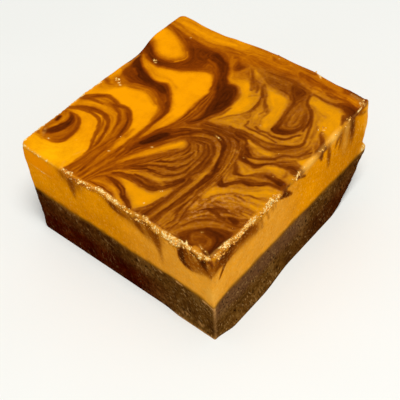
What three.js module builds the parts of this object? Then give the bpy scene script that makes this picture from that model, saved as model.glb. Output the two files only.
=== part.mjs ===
// A square of two-layer fudge: a plain chocolate layer with an orange layer poured on
// top. Three sides are knife cuts. The fourth, at +Y, set against the wall of the tin:
// its lower edge is round and its upper edge climbs a little before it rolls over.
// Millimetres, +Z up, origin under the middle of the square, on the surface it rests on.

import * as THREE from "three";
import { ImprovedNoise } from "three/addons/math/ImprovedNoise.js";

// ---- Driving dimensions -------------------------------------------------------------

const WIDTH = 50; // X, from knife cut to knife cut
const DEPTH = 52; // Y, from the front knife cut to the tin wall
const HEIGHT = 25.3; // at the front cut
const CENTRE_Y = -0.4; // moves the square so that its box is centred on the origin

const LAYER_LINE = 12.1; // height where the two layers meet
const LAYER_TILT = 0.016; // the line falls by this much for each millimetre along +X
const LAYER_WAVE = 0.16;
const CORNER_DIP = 1.3; // the line drops at the front right corner

const TIN_BASE = 11; // height and depth of the round lower edge on the tin side
const TIN_BASE_POWER = 1.5; // 2 would be an ellipse, 1 a flat chamfer
const TIN_RISE = 1.9; // how far the top climbs towards the tin wall
const TIN_RISE_FROM = 7; // Y where the climb starts
const TIN_RISE_TO = 22;
const TIN_ROLL = 1.4; // radius of the upper edge on the tin side
const TIN_BULGE = 0.7; // the orange layer stands out a little from the tin side

const KNIFE_ROLL = 0.5; // radius of the front and right upper edges where they're clean
const TORN_ROLL = 1.2; // what tearing adds to that radius
const LEFT_ROLL = 0.5; // grows to the tin side's radius at the back left corner
const BURR_UP = 0.42; // height of the torn crumbs along the cut edges
const BURR_OUT = 0.35;
const BURR_WIDTH = 1.4;

const FOOT_OUT = 1; // the chocolate's lower edge was dragged out on the right cut
const FOOT_HEIGHT = 3.4;
const LEDGE_OUT = 0.35; // thin ledge under the front cut, near the right corner
const LEDGE_HEIGHT = 1.2;

const CHIP_OUT = 1.5; // flake at the right end of the tin side
const CHIP_Z = 11.6;
const NOTCH_IN = 0.5; // the nick above it
const NOTCH_Z = 14.8;
const END_OUT = 0.55; // the orange layer stands out above the nick
const END_Z = 20;

const LEFT_LEAN = 0.8; // the left cut leans out towards its top
const LEFT_BULGE = 0.7; // and stands out more near the tin side
const LEFT_HOLLOW = 0.3; // between the two it is a little hollow
const CORNER_ROUND = { frontLeft: 1.5, frontRight: 0.35, backRight: 0.6, backLeft: 1.8 };

const CUT_GRAIN = 0.12; // roughness of the cut chocolate
const CUT_RIPPLE = 0.1; // knife ripple on the cut orange

// ---- Fineness of the mesh -----------------------------------------------------------

const EDGE_BANDS = [0, 0.45, 1, 1.8, 2.9]; // distances of the outer grid lines from an edge
const INNER_CELLS = 40;
const ORANGE_ROWS = [0, 0.14, 0.34, 0.56, 0.76, 0.91, 1];
const CHOCOLATE_ROWS = [0, 0.05, 0.13, 0.26, 0.43, 0.62, 0.82, 1];

// ---- Helpers ------------------------------------------------------------------------

const perlin = new ImprovedNoise();
const noise = (x, y, z = 0.5) => perlin.noise(x, y, z);
const ramp = (from, to, x) => THREE.MathUtils.smoothstep(x, from, to);
const bell = (x, middle, width) => Math.exp(-(((x - middle) / width) ** 2));

/** Grid lines from -1 to 1 across a size, close together beside both edges. */
function gridLines(size) {
  const inset = EDGE_BANDS.at(-1);
  const places = [...EDGE_BANDS];
  for (let k = 1; k < INNER_CELLS; k++) {
    places.push(inset + (k * (size - 2 * inset)) / INNER_CELLS);
  }
  places.push(...EDGE_BANDS.map((band) => size - band).reverse());
  return places.map((place) => (2 * place) / size - 1);
}

// ---- The form -----------------------------------------------------------------------

/** Height of the layer line at a place in plan. */
function layerLine(x, y) {
  const fromCorner = (WIDTH / 2 - x) / 3.5 + (y + DEPTH / 2) / 1.2;
  const wave = Math.sin(0.31 * x + 0.13 * y + 0.4) + 0.6 * Math.sin(0.83 * x - 0.57 * y);
  return LAYER_LINE - LAYER_TILT * x + LAYER_WAVE * wave - CORNER_DIP * Math.exp(-fromCorner);
}

/** How far the tin side stands out of its nominal plane, less where it rounds under. */
function tinSide(x, z) {
  const under = Math.max(0, 1 - z / TIN_BASE);
  const round = 1 - (1 - under ** TIN_BASE_POWER) ** (1 / TIN_BASE_POWER);
  const bulge = TIN_BULGE * ramp(10, 19, z) * (0.7 + 0.5 * Math.sin(0.21 * x + 1));
  const atEnd = bell(x, WIDTH / 2, 1.3);
  const chip = CHIP_OUT * bell(z, CHIP_Z, 1.9) * atEnd;
  const notch = NOTCH_IN * bell(z, NOTCH_Z, 0.9) * atEnd;
  const end = END_OUT * bell(z, END_Z, 3.4) * atEnd;
  return bulge + chip - notch + end - TIN_BASE * round;
}

/** How far the right cut stands out: the foot that the knife dragged from its base. */
function rightSide(y, z) {
  const along = ramp(-DEPTH / 2, -19, y) * (1 - 0.8 * ramp(-8, 6, y));
  return FOOT_OUT * along * Math.max(0, 1 - z / FOOT_HEIGHT) ** 2;
}

/** How far the left cut stands out. */
function leftSide(y, z) {
  const along = LEFT_LEAN + LEFT_BULGE * ramp(9, 17, y) - LEFT_HOLLOW * bell(y, 9, 3.5);
  return along * ramp(2, 15, z) + 0.5 * bell(y, -DEPTH / 2, 4) * bell(z, 21, 3);
}

/** How far the front cut stands out. */
function frontSide(x, z) {
  return LEDGE_OUT * ramp(11, 16, x) * Math.max(0, 1 - z / LEDGE_HEIGHT);
}

function cornerRadius(x, y) {
  if (y < 0) {
    return x < 0 ? CORNER_ROUND.frontLeft : CORNER_ROUND.frontRight;
  }
  return x < 0 ? CORNER_ROUND.backLeft : CORNER_ROUND.backRight;
}

/** Plan position of a grid point (s and t run from -1 to 1) at a height. */
function plan(s, t, z) {
  let x = (s * WIDTH) / 2;
  let y = (t * DEPTH) / 2;
  const radius = cornerRadius(x, y);
  const dx = Math.abs(x) - (WIDTH / 2 - radius);
  const dy = Math.abs(y) - (DEPTH / 2 - radius);
  if (dx > 0 && dy > 0) {
    const pull = Math.max(dx, dy) / Math.hypot(dx, dy) - 1;
    x += Math.sign(x) * dx * pull;
    y += Math.sign(y) * dy * pull;
  }
  const right = (s + 1) / 2;
  const back = (t + 1) / 2;
  const outX = right * rightSide(y, z) - (1 - right) * leftSide(y, z);
  const outY = back * tinSide(x, z) - (1 - back) * frontSide(x, z);
  return new THREE.Vector2(x + outX, y + outY);
}

/** Height of the top before its edges roll over. */
function topHeight(x, y) {
  const climb = 0.58 + 0.5 * ramp(-20, 2, x) - 0.35 * ramp(20, 25.5, x) + 0.25 * bell(x, 11, 3);
  const swell = 0.22 * noise(0.11 * x, 0.11 * y) + 0.1 * noise(0.37 * x, 0.37 * y);
  return HEIGHT + TIN_RISE * climb * ramp(TIN_RISE_FROM, TIN_RISE_TO, y) + swell;
}

/** How torn the front cut (along x) and the right cut (along y) are, from 0 to 1. */
function frontTorn(x) {
  return ramp(-15, -12, x) * (0.45 + 0.55 * ramp(7, 12, x));
}

function rightTorn(y) {
  return 1 - 0.75 * ramp(-6, 1, y);
}

/** Height lost at a grid point where the edges beside it roll over. */
function edgeDrop(s, t) {
  const x = (s * WIDTH) / 2;
  const y = (t * DEPTH) / 2;
  const frontRoll = KNIFE_ROLL + TORN_ROLL * frontTorn(x) * Math.max(0, 0.4 + noise(0.42 * x, 3.1));
  const rightRoll = KNIFE_ROLL + TORN_ROLL * rightTorn(y) * Math.max(0, 0.3 + noise(0.38 * y, 7.7));
  const leftRoll = THREE.MathUtils.lerp(LEFT_ROLL, TIN_ROLL, ramp(14, 23, y));
  const edges = [
    [DEPTH / 2 - y, TIN_ROLL],
    [DEPTH / 2 + y, frontRoll],
    [WIDTH / 2 - x, rightRoll],
    [WIDTH / 2 + x, leftRoll],
  ];
  const drops = edges.map(([distance, radius]) => {
    const inside = Math.max(0, 1 - distance / radius);
    return radius * (1 - Math.sqrt(Math.max(0, 1 - inside ** 2)));
  });
  return Math.max(...drops);
}

/** Crumbs standing up along the torn edges. */
function burr(s, t) {
  const x = (s * WIDTH) / 2;
  const y = (t * DEPTH) / 2;
  const front = frontTorn(x) * Math.max(0, 1 - (DEPTH / 2 + y) / BURR_WIDTH);
  const right = rightTorn(y) * Math.max(0, 1 - (WIDTH / 2 - x) / BURR_WIDTH);
  const tear = Math.max(front, right);
  return tear * (noise(0.93 * x, 0.93 * y, 4.2) + 0.6 * noise(2.1 * x, 2.1 * y, 9.4));
}

/** A point of the outside: its plan at that height, roughened outwards on the sides. */
function skin(s, t, z, grain) {
  const at = plan(s, t, z);
  const out = new THREE.Vector2(Math.abs(s) === 1 ? s : 0, Math.abs(t) === 1 ? t : 0);
  return new THREE.Vector3(at.x + out.x * grain, at.y + out.y * grain, z);
}

// ---- Meshes -------------------------------------------------------------------------

const S_LINES = gridLines(WIDTH);
const T_LINES = gridLines(DEPTH);
const LAST = S_LINES.length - 1;

/** Grid indices round the border, counter-clockwise seen from above. */
function borderLoop() {
  const loop = [];
  for (let k = 0; k < LAST; k++) loop.push([k, 0]);
  for (let k = 0; k < LAST; k++) loop.push([LAST, k]);
  for (let k = LAST; k > 0; k--) loop.push([k, LAST]);
  for (let k = LAST; k > 0; k--) loop.push([0, k]);
  return loop;
}

const BORDER = borderLoop();

/** The ring of points where the two layers meet, and the point in its middle. */
const seam = BORDER.map(([i, j]) => {
  const rough = plan(S_LINES[i], T_LINES[j], LAYER_LINE);
  return skin(S_LINES[i], T_LINES[j], layerLine(rough.x, rough.y), 0);
});
const seamMiddle = new THREE.Vector3(0, 0, layerLine(0, 0));

/** Collects points and triangles, and makes the geometry. */
class Shell {
  points = [];
  triangles = [];

  add(point) {
    this.points.push(point.x, point.y, point.z);
    return this.points.length / 3 - 1;
  }

  quad(a, b, c, d) {
    this.triangles.push(a, b, c, a, c, d);
  }

  /** Walls between rings of indices, lowest ring first. */
  walls(rings) {
    for (let row = 0; row + 1 < rings.length; row++) {
      const [low, high] = [rings[row], rings[row + 1]];
      low.forEach((corner, k) => {
        const next = (k + 1) % low.length;
        this.quad(corner, low[next], high[next], high[k]);
      });
    }
  }

  /** A fan that closes a ring, facing up or down. */
  fan(ring, middle, up) {
    const hub = this.add(middle);
    ring.forEach((corner, k) => {
      const next = ring[(k + 1) % ring.length];
      this.triangles.push(hub, ...(up ? [corner, next] : [next, corner]));
    });
  }

  mesh(name, material) {
    const geometry = new THREE.BufferGeometry();
    geometry.setAttribute("position", new THREE.Float32BufferAttribute(this.points, 3));
    geometry.setIndex(this.triangles);
    geometry.computeVertexNormals();
    const mesh = new THREE.Mesh(geometry, material);
    mesh.name = name;
    mesh.position.y = CENTRE_Y;
    return mesh;
  }
}

/** A point of the top, with its rolled edges and torn crumbs. */
function topPoint(s, t) {
  const at = plan(s, t, HEIGHT);
  const crumbs = burr(s, t);
  const z = topHeight(at.x, at.y) - edgeDrop(s, t) + BURR_UP * crumbs;
  return skin(s, t, z, BURR_OUT * crumbs);
}

/** The orange layer, from the seam up. */
function orangeLayer() {
  const shell = new Shell();
  const grid = S_LINES.map((s) => T_LINES.map((t) => shell.add(topPoint(s, t))));
  for (let i = 0; i < LAST; i++) {
    for (let j = 0; j < LAST; j++) {
      shell.quad(grid[i][j], grid[i + 1][j], grid[i + 1][j + 1], grid[i][j + 1]);
    }
  }
  const rings = ORANGE_ROWS.slice(0, -1).map((share) =>
    BORDER.map(([i, j], k) => {
      if (share === 0) return shell.add(seam[k]);
      const top = topPoint(S_LINES[i], T_LINES[j]).z;
      const z = THREE.MathUtils.lerp(seam[k].z, top, share);
      const { x, y } = plan(S_LINES[i], T_LINES[j], z);
      const ripple = CUT_RIPPLE * noise(0.5 * (x + y), 0.3 * (y - x), 0.25 * z);
      return shell.add(skin(S_LINES[i], T_LINES[j], z, ripple));
    }),
  );
  rings.push(BORDER.map(([i, j]) => grid[i][j]));
  shell.walls(rings);
  shell.fan(rings[0], seamMiddle, false);
  const material = new THREE.MeshStandardMaterial({ color: 0xe08c1e, roughness: 0.45 });
  return shell.mesh("orange_layer", material);
}

/** The chocolate layer, from its flat base up to the seam. */
function chocolateLayer() {
  const shell = new Shell();
  const rings = CHOCOLATE_ROWS.map((share) =>
    BORDER.map(([i, j], k) => {
      if (share === 1) return shell.add(seam[k]);
      const z = seam[k].z * share;
      const { x, y } = plan(S_LINES[i], T_LINES[j], z);
      const grain = share === 0 ? 0 : CUT_GRAIN * noise(0.8 * x, 0.8 * y, 0.8 * z);
      return shell.add(skin(S_LINES[i], T_LINES[j], z, grain));
    }),
  );
  shell.walls(rings);
  shell.fan(rings[0], new THREE.Vector3(0, 0, 0), false);
  shell.fan(rings.at(-1), seamMiddle, true);
  const material = new THREE.MeshStandardMaterial({ color: 0x4f3219, roughness: 0.7 });
  return shell.mesh("chocolate_layer", material);
}

const fudge = new THREE.Group();
fudge.add(chocolateLayer(), orangeLayer());

export default fudge;
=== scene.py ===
"""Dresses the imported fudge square: marbled orange fudge poured over plain chocolate fudge.

Sizes are in millimetres until a mesh is written, which is in metres, as the frame is.
"""

import math

import bmesh
import bpy
import numpy as np
from mathutils import Matrix, Vector


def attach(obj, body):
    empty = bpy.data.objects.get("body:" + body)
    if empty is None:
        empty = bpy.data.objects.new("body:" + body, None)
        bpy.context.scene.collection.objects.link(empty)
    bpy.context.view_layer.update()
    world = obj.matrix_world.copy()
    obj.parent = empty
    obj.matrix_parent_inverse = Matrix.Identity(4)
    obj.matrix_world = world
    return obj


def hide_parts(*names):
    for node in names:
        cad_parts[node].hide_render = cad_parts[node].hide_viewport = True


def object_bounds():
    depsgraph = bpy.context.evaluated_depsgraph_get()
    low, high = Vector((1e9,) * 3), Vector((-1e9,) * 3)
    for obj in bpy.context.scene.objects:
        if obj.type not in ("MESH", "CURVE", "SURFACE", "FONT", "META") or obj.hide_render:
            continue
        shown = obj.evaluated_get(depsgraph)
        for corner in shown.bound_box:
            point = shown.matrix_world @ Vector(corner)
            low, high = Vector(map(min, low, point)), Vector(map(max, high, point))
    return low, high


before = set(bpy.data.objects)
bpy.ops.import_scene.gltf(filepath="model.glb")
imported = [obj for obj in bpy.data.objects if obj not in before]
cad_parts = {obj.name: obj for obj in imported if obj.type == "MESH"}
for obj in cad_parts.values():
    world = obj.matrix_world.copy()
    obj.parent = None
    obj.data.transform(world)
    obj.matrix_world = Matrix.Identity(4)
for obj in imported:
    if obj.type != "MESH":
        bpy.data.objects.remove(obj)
cad_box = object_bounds()

MM = 0.001
WIDTH = 50.0
DEPTH = 52.0
HEIGHT = 25.3
CENTRE_Y = -0.4

# how much cocoa the fudge holds: 0 is plain orange, 1 the darkest swirl
PLAIN = 0.0
BROWN = 0.64

NOISE_CELLS = 256
CURVE_STEPS = 20
TINY = 1e-6


# ---------------------------------------------------------------- small maths


def ramp(start, end, x):
    """Smooth step from 0 at start to 1 at end."""
    t = np.clip((x - start) / (end - start), 0, 1)
    return t * t * (3 - 2 * t)


def bell(x, middle, width):
    """1 at the middle, and soft to both sides."""
    return np.exp(-(((x - middle) / width) ** 2))


def spot(dx, dy, size):
    """A soft round spot, seen from this far off its middle."""
    return bell(np.hypot(dx, dy), 0, size)


def blots(u, v, *rows):
    """Soft blots added up: each row is a strength, then a middle and a width both ways."""
    return sum(k * bell(u, a, p) * bell(v, b, q) for k, a, p, b, q in rows)


def mix(a, b, share):
    return a + (b - a) * share


def waves(x, y, seed):
    """Smooth noise from -1 to 1, one lump per unit."""
    table = np.random.default_rng(seed).uniform(-1, 1, (NOISE_CELLS, NOISE_CELLS))
    column, row = np.floor(x).astype(int), np.floor(y).astype(int)
    u, v = x - column, y - row
    u, v = u * u * (3 - 2 * u), v * v * (3 - 2 * v)
    here, beside = column % NOISE_CELLS, (column + 1) % NOISE_CELLS
    rows = (row % NOISE_CELLS, (row + 1) % NOISE_CELLS)
    near, far = [mix(table[here, k], table[beside, k], u) for k in rows]
    return mix(near, far, v)


def ripples(x, y, *rows):
    """Waves of several sizes added up: each row is a height, lumps per unit and a seed."""
    return sum(height * waves(scale * x, scale * y, seed) for height, scale, seed in rows)


def blur(field, sigma):
    """Gaussian blur of a flat map; sigma is in cells."""
    reach = int(3 * sigma + 1)
    weights = np.exp(-0.5 * (np.arange(-reach, reach + 1) / sigma) ** 2)
    weights /= weights.sum()
    for _ in range(2):
        padded = np.pad(field, [(reach, reach), (0, 0)], mode="edge")
        field = sum(w * padded[i:i + len(field)] for i, w in enumerate(weights)).T
    return field


def smooth_line(points, step, closed=False):
    """A soft curve through a few set points, given as x, y, x, y; returns points an even step apart."""
    p = np.array(points, float).reshape(-1, 2)
    if closed:
        p = np.vstack([p[-1], p, p[0], p[1]])
    else:
        p = np.vstack([2 * p[0] - p[1], p, 2 * p[-1] - p[-2]])
    t = np.linspace(0, 1, CURVE_STEPS, endpoint=False)[:, None]
    parts = []
    for a, b, c, d in zip(p, p[1:], p[2:], p[3:]):
        bend = (2 * a - 5 * b + 4 * c - d) * t**2 + (3 * b - a - 3 * c + d) * t**3
        parts.append(0.5 * (2 * b + (c - a) * t + bend))
    parts.append(p[-2:-1])
    line = np.vstack(parts)
    run = np.append(0, np.cumsum(np.hypot(*np.diff(line, axis=0).T)))
    at = np.linspace(0, run[-1], max(8, int(run[-1] / step)))
    return np.stack([np.interp(at, run, line[:, k]) for k in (0, 1)], 1)


def spread(values, count):
    """One number, or several spread evenly over count places."""
    values = np.atleast_1d(np.array(values, float))
    return np.interp(np.linspace(0, 1, count), np.linspace(0, 1, len(values)), values)


# ---------------------------------------------------------------- marbling


class Marbling:
    """A flat map of how much cocoa is in the fudge, drawn swirl by swirl."""

    CELL = 0.1
    RIM_STEP = 0.2
    LINE_STEP = 0.08
    THREAD_STEP = 0.06

    def __init__(self, low, high, level):
        self.low = np.array(low, float)
        size = np.ceil((np.array(high) - self.low) / self.CELL).astype(int) + 1
        self.cocoa = np.full(size, float(level))
        self.across = [self.low[k] + self.CELL * np.arange(size[k]) for k in (0, 1)]
        self.seed = 0

    def window(self, points, margin):
        """The part of the map that these points and a margin cover, with its coordinates."""
        low = np.clip((points.min(0) - margin - self.low) // self.CELL, 0, None).astype(int)
        high = np.clip((points.max(0) + margin - self.low) // self.CELL + 2, 1, None).astype(int)
        part = (slice(low[0], high[0]), slice(low[1], high[1]))
        x, y = np.meshgrid(self.across[0][part[0]], self.across[1][part[1]], indexing="ij")
        return part, x, y

    def cells(self, middle, reach, start):
        """The cells of one axis within reach of a place on it, counted from the start."""
        ends = (np.array([middle - reach, middle + reach]) - start) // self.CELL + [0, 2]
        return slice(*np.clip(ends, 0, None).astype(int))

    def lay(self, part, cover, level):
        """Covers a part of the map with a level."""
        old = self.cocoa[part]
        self.cocoa[part] = old + (level - old) * cover

    def patch(self, points, level, soft=0.2, cover=1.0):
        """A pool of one level inside a closed outline."""
        rim = smooth_line(points, self.RIM_STEP, closed=True)
        part, x, y = self.window(rim, 4 * soft + 0.4)
        inside = np.zeros(x.shape, bool)
        for (ax, ay), (bx, by) in zip(rim, np.roll(rim, -1, 0)):
            if ay != by:
                between = (y >= min(ay, by)) & (y < max(ay, by))
                inside ^= between & (x < ax + (y - ay) * (bx - ax) / (by - ay))
        self.lay(part, cover * blur(inside.astype(float), soft / self.CELL), level)

    def line(self, points, width, level, soft=0.14, cover=1.0):
        """A swirl along a line; its width and level may change on the way."""
        line = smooth_line(points, self.LINE_STEP)
        widths, levels = spread(width, len(line)), spread(level, len(line))
        part, x, y = self.window(line, widths.max() / 2 + 3 * soft)
        mask, value = np.zeros(x.shape), np.full(x.shape, levels[0])
        for (px, py), w, v in zip(line, widths, levels):
            reach = w / 2 + 2 * soft
            near = (self.cells(px, reach, x[0, 0]), self.cells(py, reach, y[0, 0]))
            m = ramp(w / 2 + soft, w / 2 - soft, np.hypot(x[near] - px, y[near] - py))
            value[near] = np.where(m > mask[near], v, value[near])
            mask[near] = np.maximum(m, mask[near])
        self.lay(part, cover * mask, blur(value, 1.5))

    def strokes(self, rows, soft=0.14):
        """Several swirls, each with its own width, level and points."""
        for width, level, points in rows:
            self.line(points, width, level, soft)

    def lines(self, rows, level, soft=0.14, cover=1.0):
        """Several thin swirls of one level, each with its own width and points."""
        for width, points in rows:
            self.line(points, width, level, soft, cover)

    def threads(self, one, other, levels, fine=0.09, soft=0.12, cover=1.0):
        """A sheaf of threads between two guide lines, with these levels from one to the other."""
        self.seed += 3
        a, b = smooth_line(one, self.THREAD_STEP), smooth_line(other, self.THREAD_STEP)
        count = max(len(a), len(b))
        a, b = [np.stack([spread(g[:, k], count) for k in (0, 1)], 1) for g in (a, b)]
        wide = max(12, int(np.hypot(*(a - b).T).max() / self.THREAD_STEP))
        u = np.linspace(0, 1, wide)[:, None]
        t = self.THREAD_STEP * np.arange(count)[None]
        n = len(levels) - 1
        place = np.clip(u * n + 0.35 * waves(u * n * 0.7, t / 6, self.seed), 0, n)
        value = np.interp(place, np.arange(n + 1), levels)
        value = value + fine * waves(place * 2.1, t / 5, self.seed + 1)
        value = value + 0.7 * fine * waves(place * 4.7, t / 3, self.seed + 2)
        x, y = mix(a[:, 0], b[:, 0], u), mix(a[:, 1], b[:, 1], u)
        size, sigma = self.cocoa.shape, soft / self.CELL
        i = np.rint((x - self.low[0]) / self.CELL).astype(int)
        j = np.rint((y - self.low[1]) / self.CELL).astype(int)
        on = (i >= 0) & (i < size[0]) & (j >= 0) & (j < size[1])
        cell = i[on] * size[1] + j[on]
        hits = np.bincount(cell, minlength=self.cocoa.size).reshape(size)
        total = np.bincount(cell, weights=value[on], minlength=self.cocoa.size).reshape(size)
        hit = (hits > 0).astype(float)
        mean, edge = total / np.maximum(hits, 1), blur(hit, sigma)
        near = blur(mean, 0.6) / np.maximum(blur(hit, 0.6), TINY)
        beyond = blur(mean, sigma) / np.maximum(edge, TINY)
        whole = (slice(None), slice(None))
        self.lay(whole, cover * edge, np.where(hit > 0, near, beyond))

    def streaks(self, seed, steps=12):
        """Fine hairs of colour, drawn out along the swirls."""
        level = blur(self.cocoa, 2.0)
        gx, gy = np.gradient(level)
        xx, yy, xy = blur(gx * gx, 4), blur(gy * gy, 4), blur(gx * gy, 4)
        turn = 0.5 * np.arctan2(2 * xy, xx - yy) + math.pi / 2
        dx, dy = np.cos(turn), np.sin(turn)
        grain = blur(np.random.default_rng(seed).uniform(-1, 1, level.shape), 0.8)
        total = grain.copy()
        rows, columns = np.indices(level.shape)
        for way in (1, -1):
            x, y, vx, vy = rows.astype(float), columns.astype(float), way * dx, way * dy
            for _ in range(steps):
                x, y = np.clip(x + vx, 0, level.shape[0] - 1), np.clip(y + vy, 0, level.shape[1] - 1)
                i, j = x.astype(int), y.astype(int)
                total += grain[i, j]
                same = np.where(dx[i, j] * vx + dy[i, j] * vy < 0, -1, 1)
                vx, vy = dx[i, j] * same, dy[i, j] * same
        return total / total.std()

    def read(self, x, y, field=None):
        """The map's level at each of these points."""
        field = self.cocoa if field is None else field
        u = np.clip((x - self.low[0]) / self.CELL, 0, field.shape[0] - 1.001)
        v = np.clip((y - self.low[1]) / self.CELL, 0, field.shape[1] - 1.001)
        i, j = u.astype(int), v.astype(int)
        u, v = u - i, v - j
        return mix(mix(field[i, j], field[i + 1, j], u), mix(field[i, j + 1], field[i + 1, j + 1], u), v)


def far_strip(top):
    """The band along the tin side, where the swirls were smeared sideways."""
    top.patch([-5.5, 21.4, 0, 20.6, 8, 21, 14, 20.6, 18, 21, 27, 20.4, 28, 31, -5.5, 31], 0.33, 0.5)
    top.patch([-28, 22.1, -22, 21.9, -17, 21.4, -13, 21.7, -10, 22.3, -6.5, 22.5, -3, 24, 0, 31, -28, 31],
        0.13, 0.8)
    top.threads([-6, 22.6, 0, 21.8, 8, 22.4, 18, 21.8], [-6, 27.5, 0, 28.4, 8, 28.4, 18, 28],
        [0.42, 0.46, 0.34, 0.4, 0.3, 0.38, 0.3], 0.08, 0.7, 0.7)
    top.line([-26, 23.4, -24, 23.2, -22, 22.7, -18, 22.1, -14, 22.2, -11, 22.7, -7, 23.5, -2, 24],
        [0.9, 0.7, 0.6, 0.8], 0.32, 0.4)
    top.line([-26, 25.7, -20, 25.2, -14, 25.9, -8, 25.3, 0, 25.8], 0.6, 0.2, 0.5)
    top.line([-24, 24.5, -16, 23.8, -9, 24.6], 0.7, 0.02, 0.5)
    top.line([-21, 21.8, -18, 21.4, -15, 21.3, -12.5, 21.4], 0.5, 0.26, 0.25)
    top.lines([
        (0.5, [-10.6, 22.9, -8, 23.2, -5.4, 23.1]), (0.5, [-9.6, 21.8, -7.6, 22.2, -5.2, 22.5]),
        (0.5, [-4, 23.6, 1, 23, 4, 23.4]),
    ], 0.46, 0.4)
    top.line([2.4, 21.4, 5, 21.6, 7.6, 22.1, 10, 21.6, 12.4, 21.4], [0.6, 1.2, 1.8, 1.4, 1], 0.6, 0.6)
    top.line([5, 27, 9, 26.6, 13, 27.2], 0.8, 0.44, 0.5)
    top.line([8, 25.2, 12, 24.4, 14, 24.6, 17, 24.2], [0.6, 1.6, 1.6, 0.7], 0.56, 0.5)
    top.line([9.9, 20, 10.6, 18.6, 11.2, 17.2], [0.9, 0.8, 0.5], 0.72, 0.3)
    top.line([22.8, 19.6, 23.5, 18.4, 23.9, 17.2], [0.8, 0.9, 0.5], [0.6, 0.66, 0.5], 0.3)
    top.line([12, 26.6, 15, 25.8, 18, 26.2], 1.2, 0.26, 0.5)
    # the knotted end by the right cut
    top.patch([17.8, 28.6, 18.4, 26, 19.4, 24.6, 20.6, 23, 22, 21.7, 24, 21.4, 25.8, 21.2, 26.4, 28.6],
        0.56, 0.5)
    top.line([18.2, 23.4, 20.2, 23.4, 22, 23.3, 24.4, 23], 0.5, 0.62, 0.3)
    top.patch([19.6, 21.8, 21.2, 22.6, 23, 22.7, 24.8, 22.6, 24.9, 20.8, 24.4, 19, 23.6, 18.8, 23.2, 20.2,
        21.8, 20.8], 0.82, 0.4)
    top.line([18.6, 24.6, 20.4, 24.9, 22.4, 24.7, 23.8, 24.1], [0.5, 1.1, 1.1, 0.5], 0.24, 0.35)
    top.line([19.6, 26.6, 21.4, 26.6, 23.6, 26], [1, 1.8, 1.6], 0.68, 0.5)
    top.line([20.6, 24.2, 22.2, 24, 23.6, 23.6], [0.3, 0.5, 0.3], 0.2, 0.25)
    top.line([14.2, 21.4, 16.4, 21, 18.4, 21, 20.6, 21.4], [0.5, 0.8, 0.8], 0.6, 0.35)
    top.line([15.8, 23.1, 17.4, 23.5, 18.9, 22.9, 17.6, 22.4, 16, 22.6], 0.3, 0.55, 0.18)
    top.line([16.4, 22.8, 17.4, 22.7, 18.4, 22.9], [0.3, 0.5, 0.3], 0.62, 0.15)
    top.line([12.4, 22.6, 12.8, 23.6, 13.8, 24, 14.8, 23.5, 15, 22.8], 0.25, 0.52, 0.2)
    top.line([13.4, 22.2, 14.4, 22.3], 0.6, 0.24, 0.2)


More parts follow.
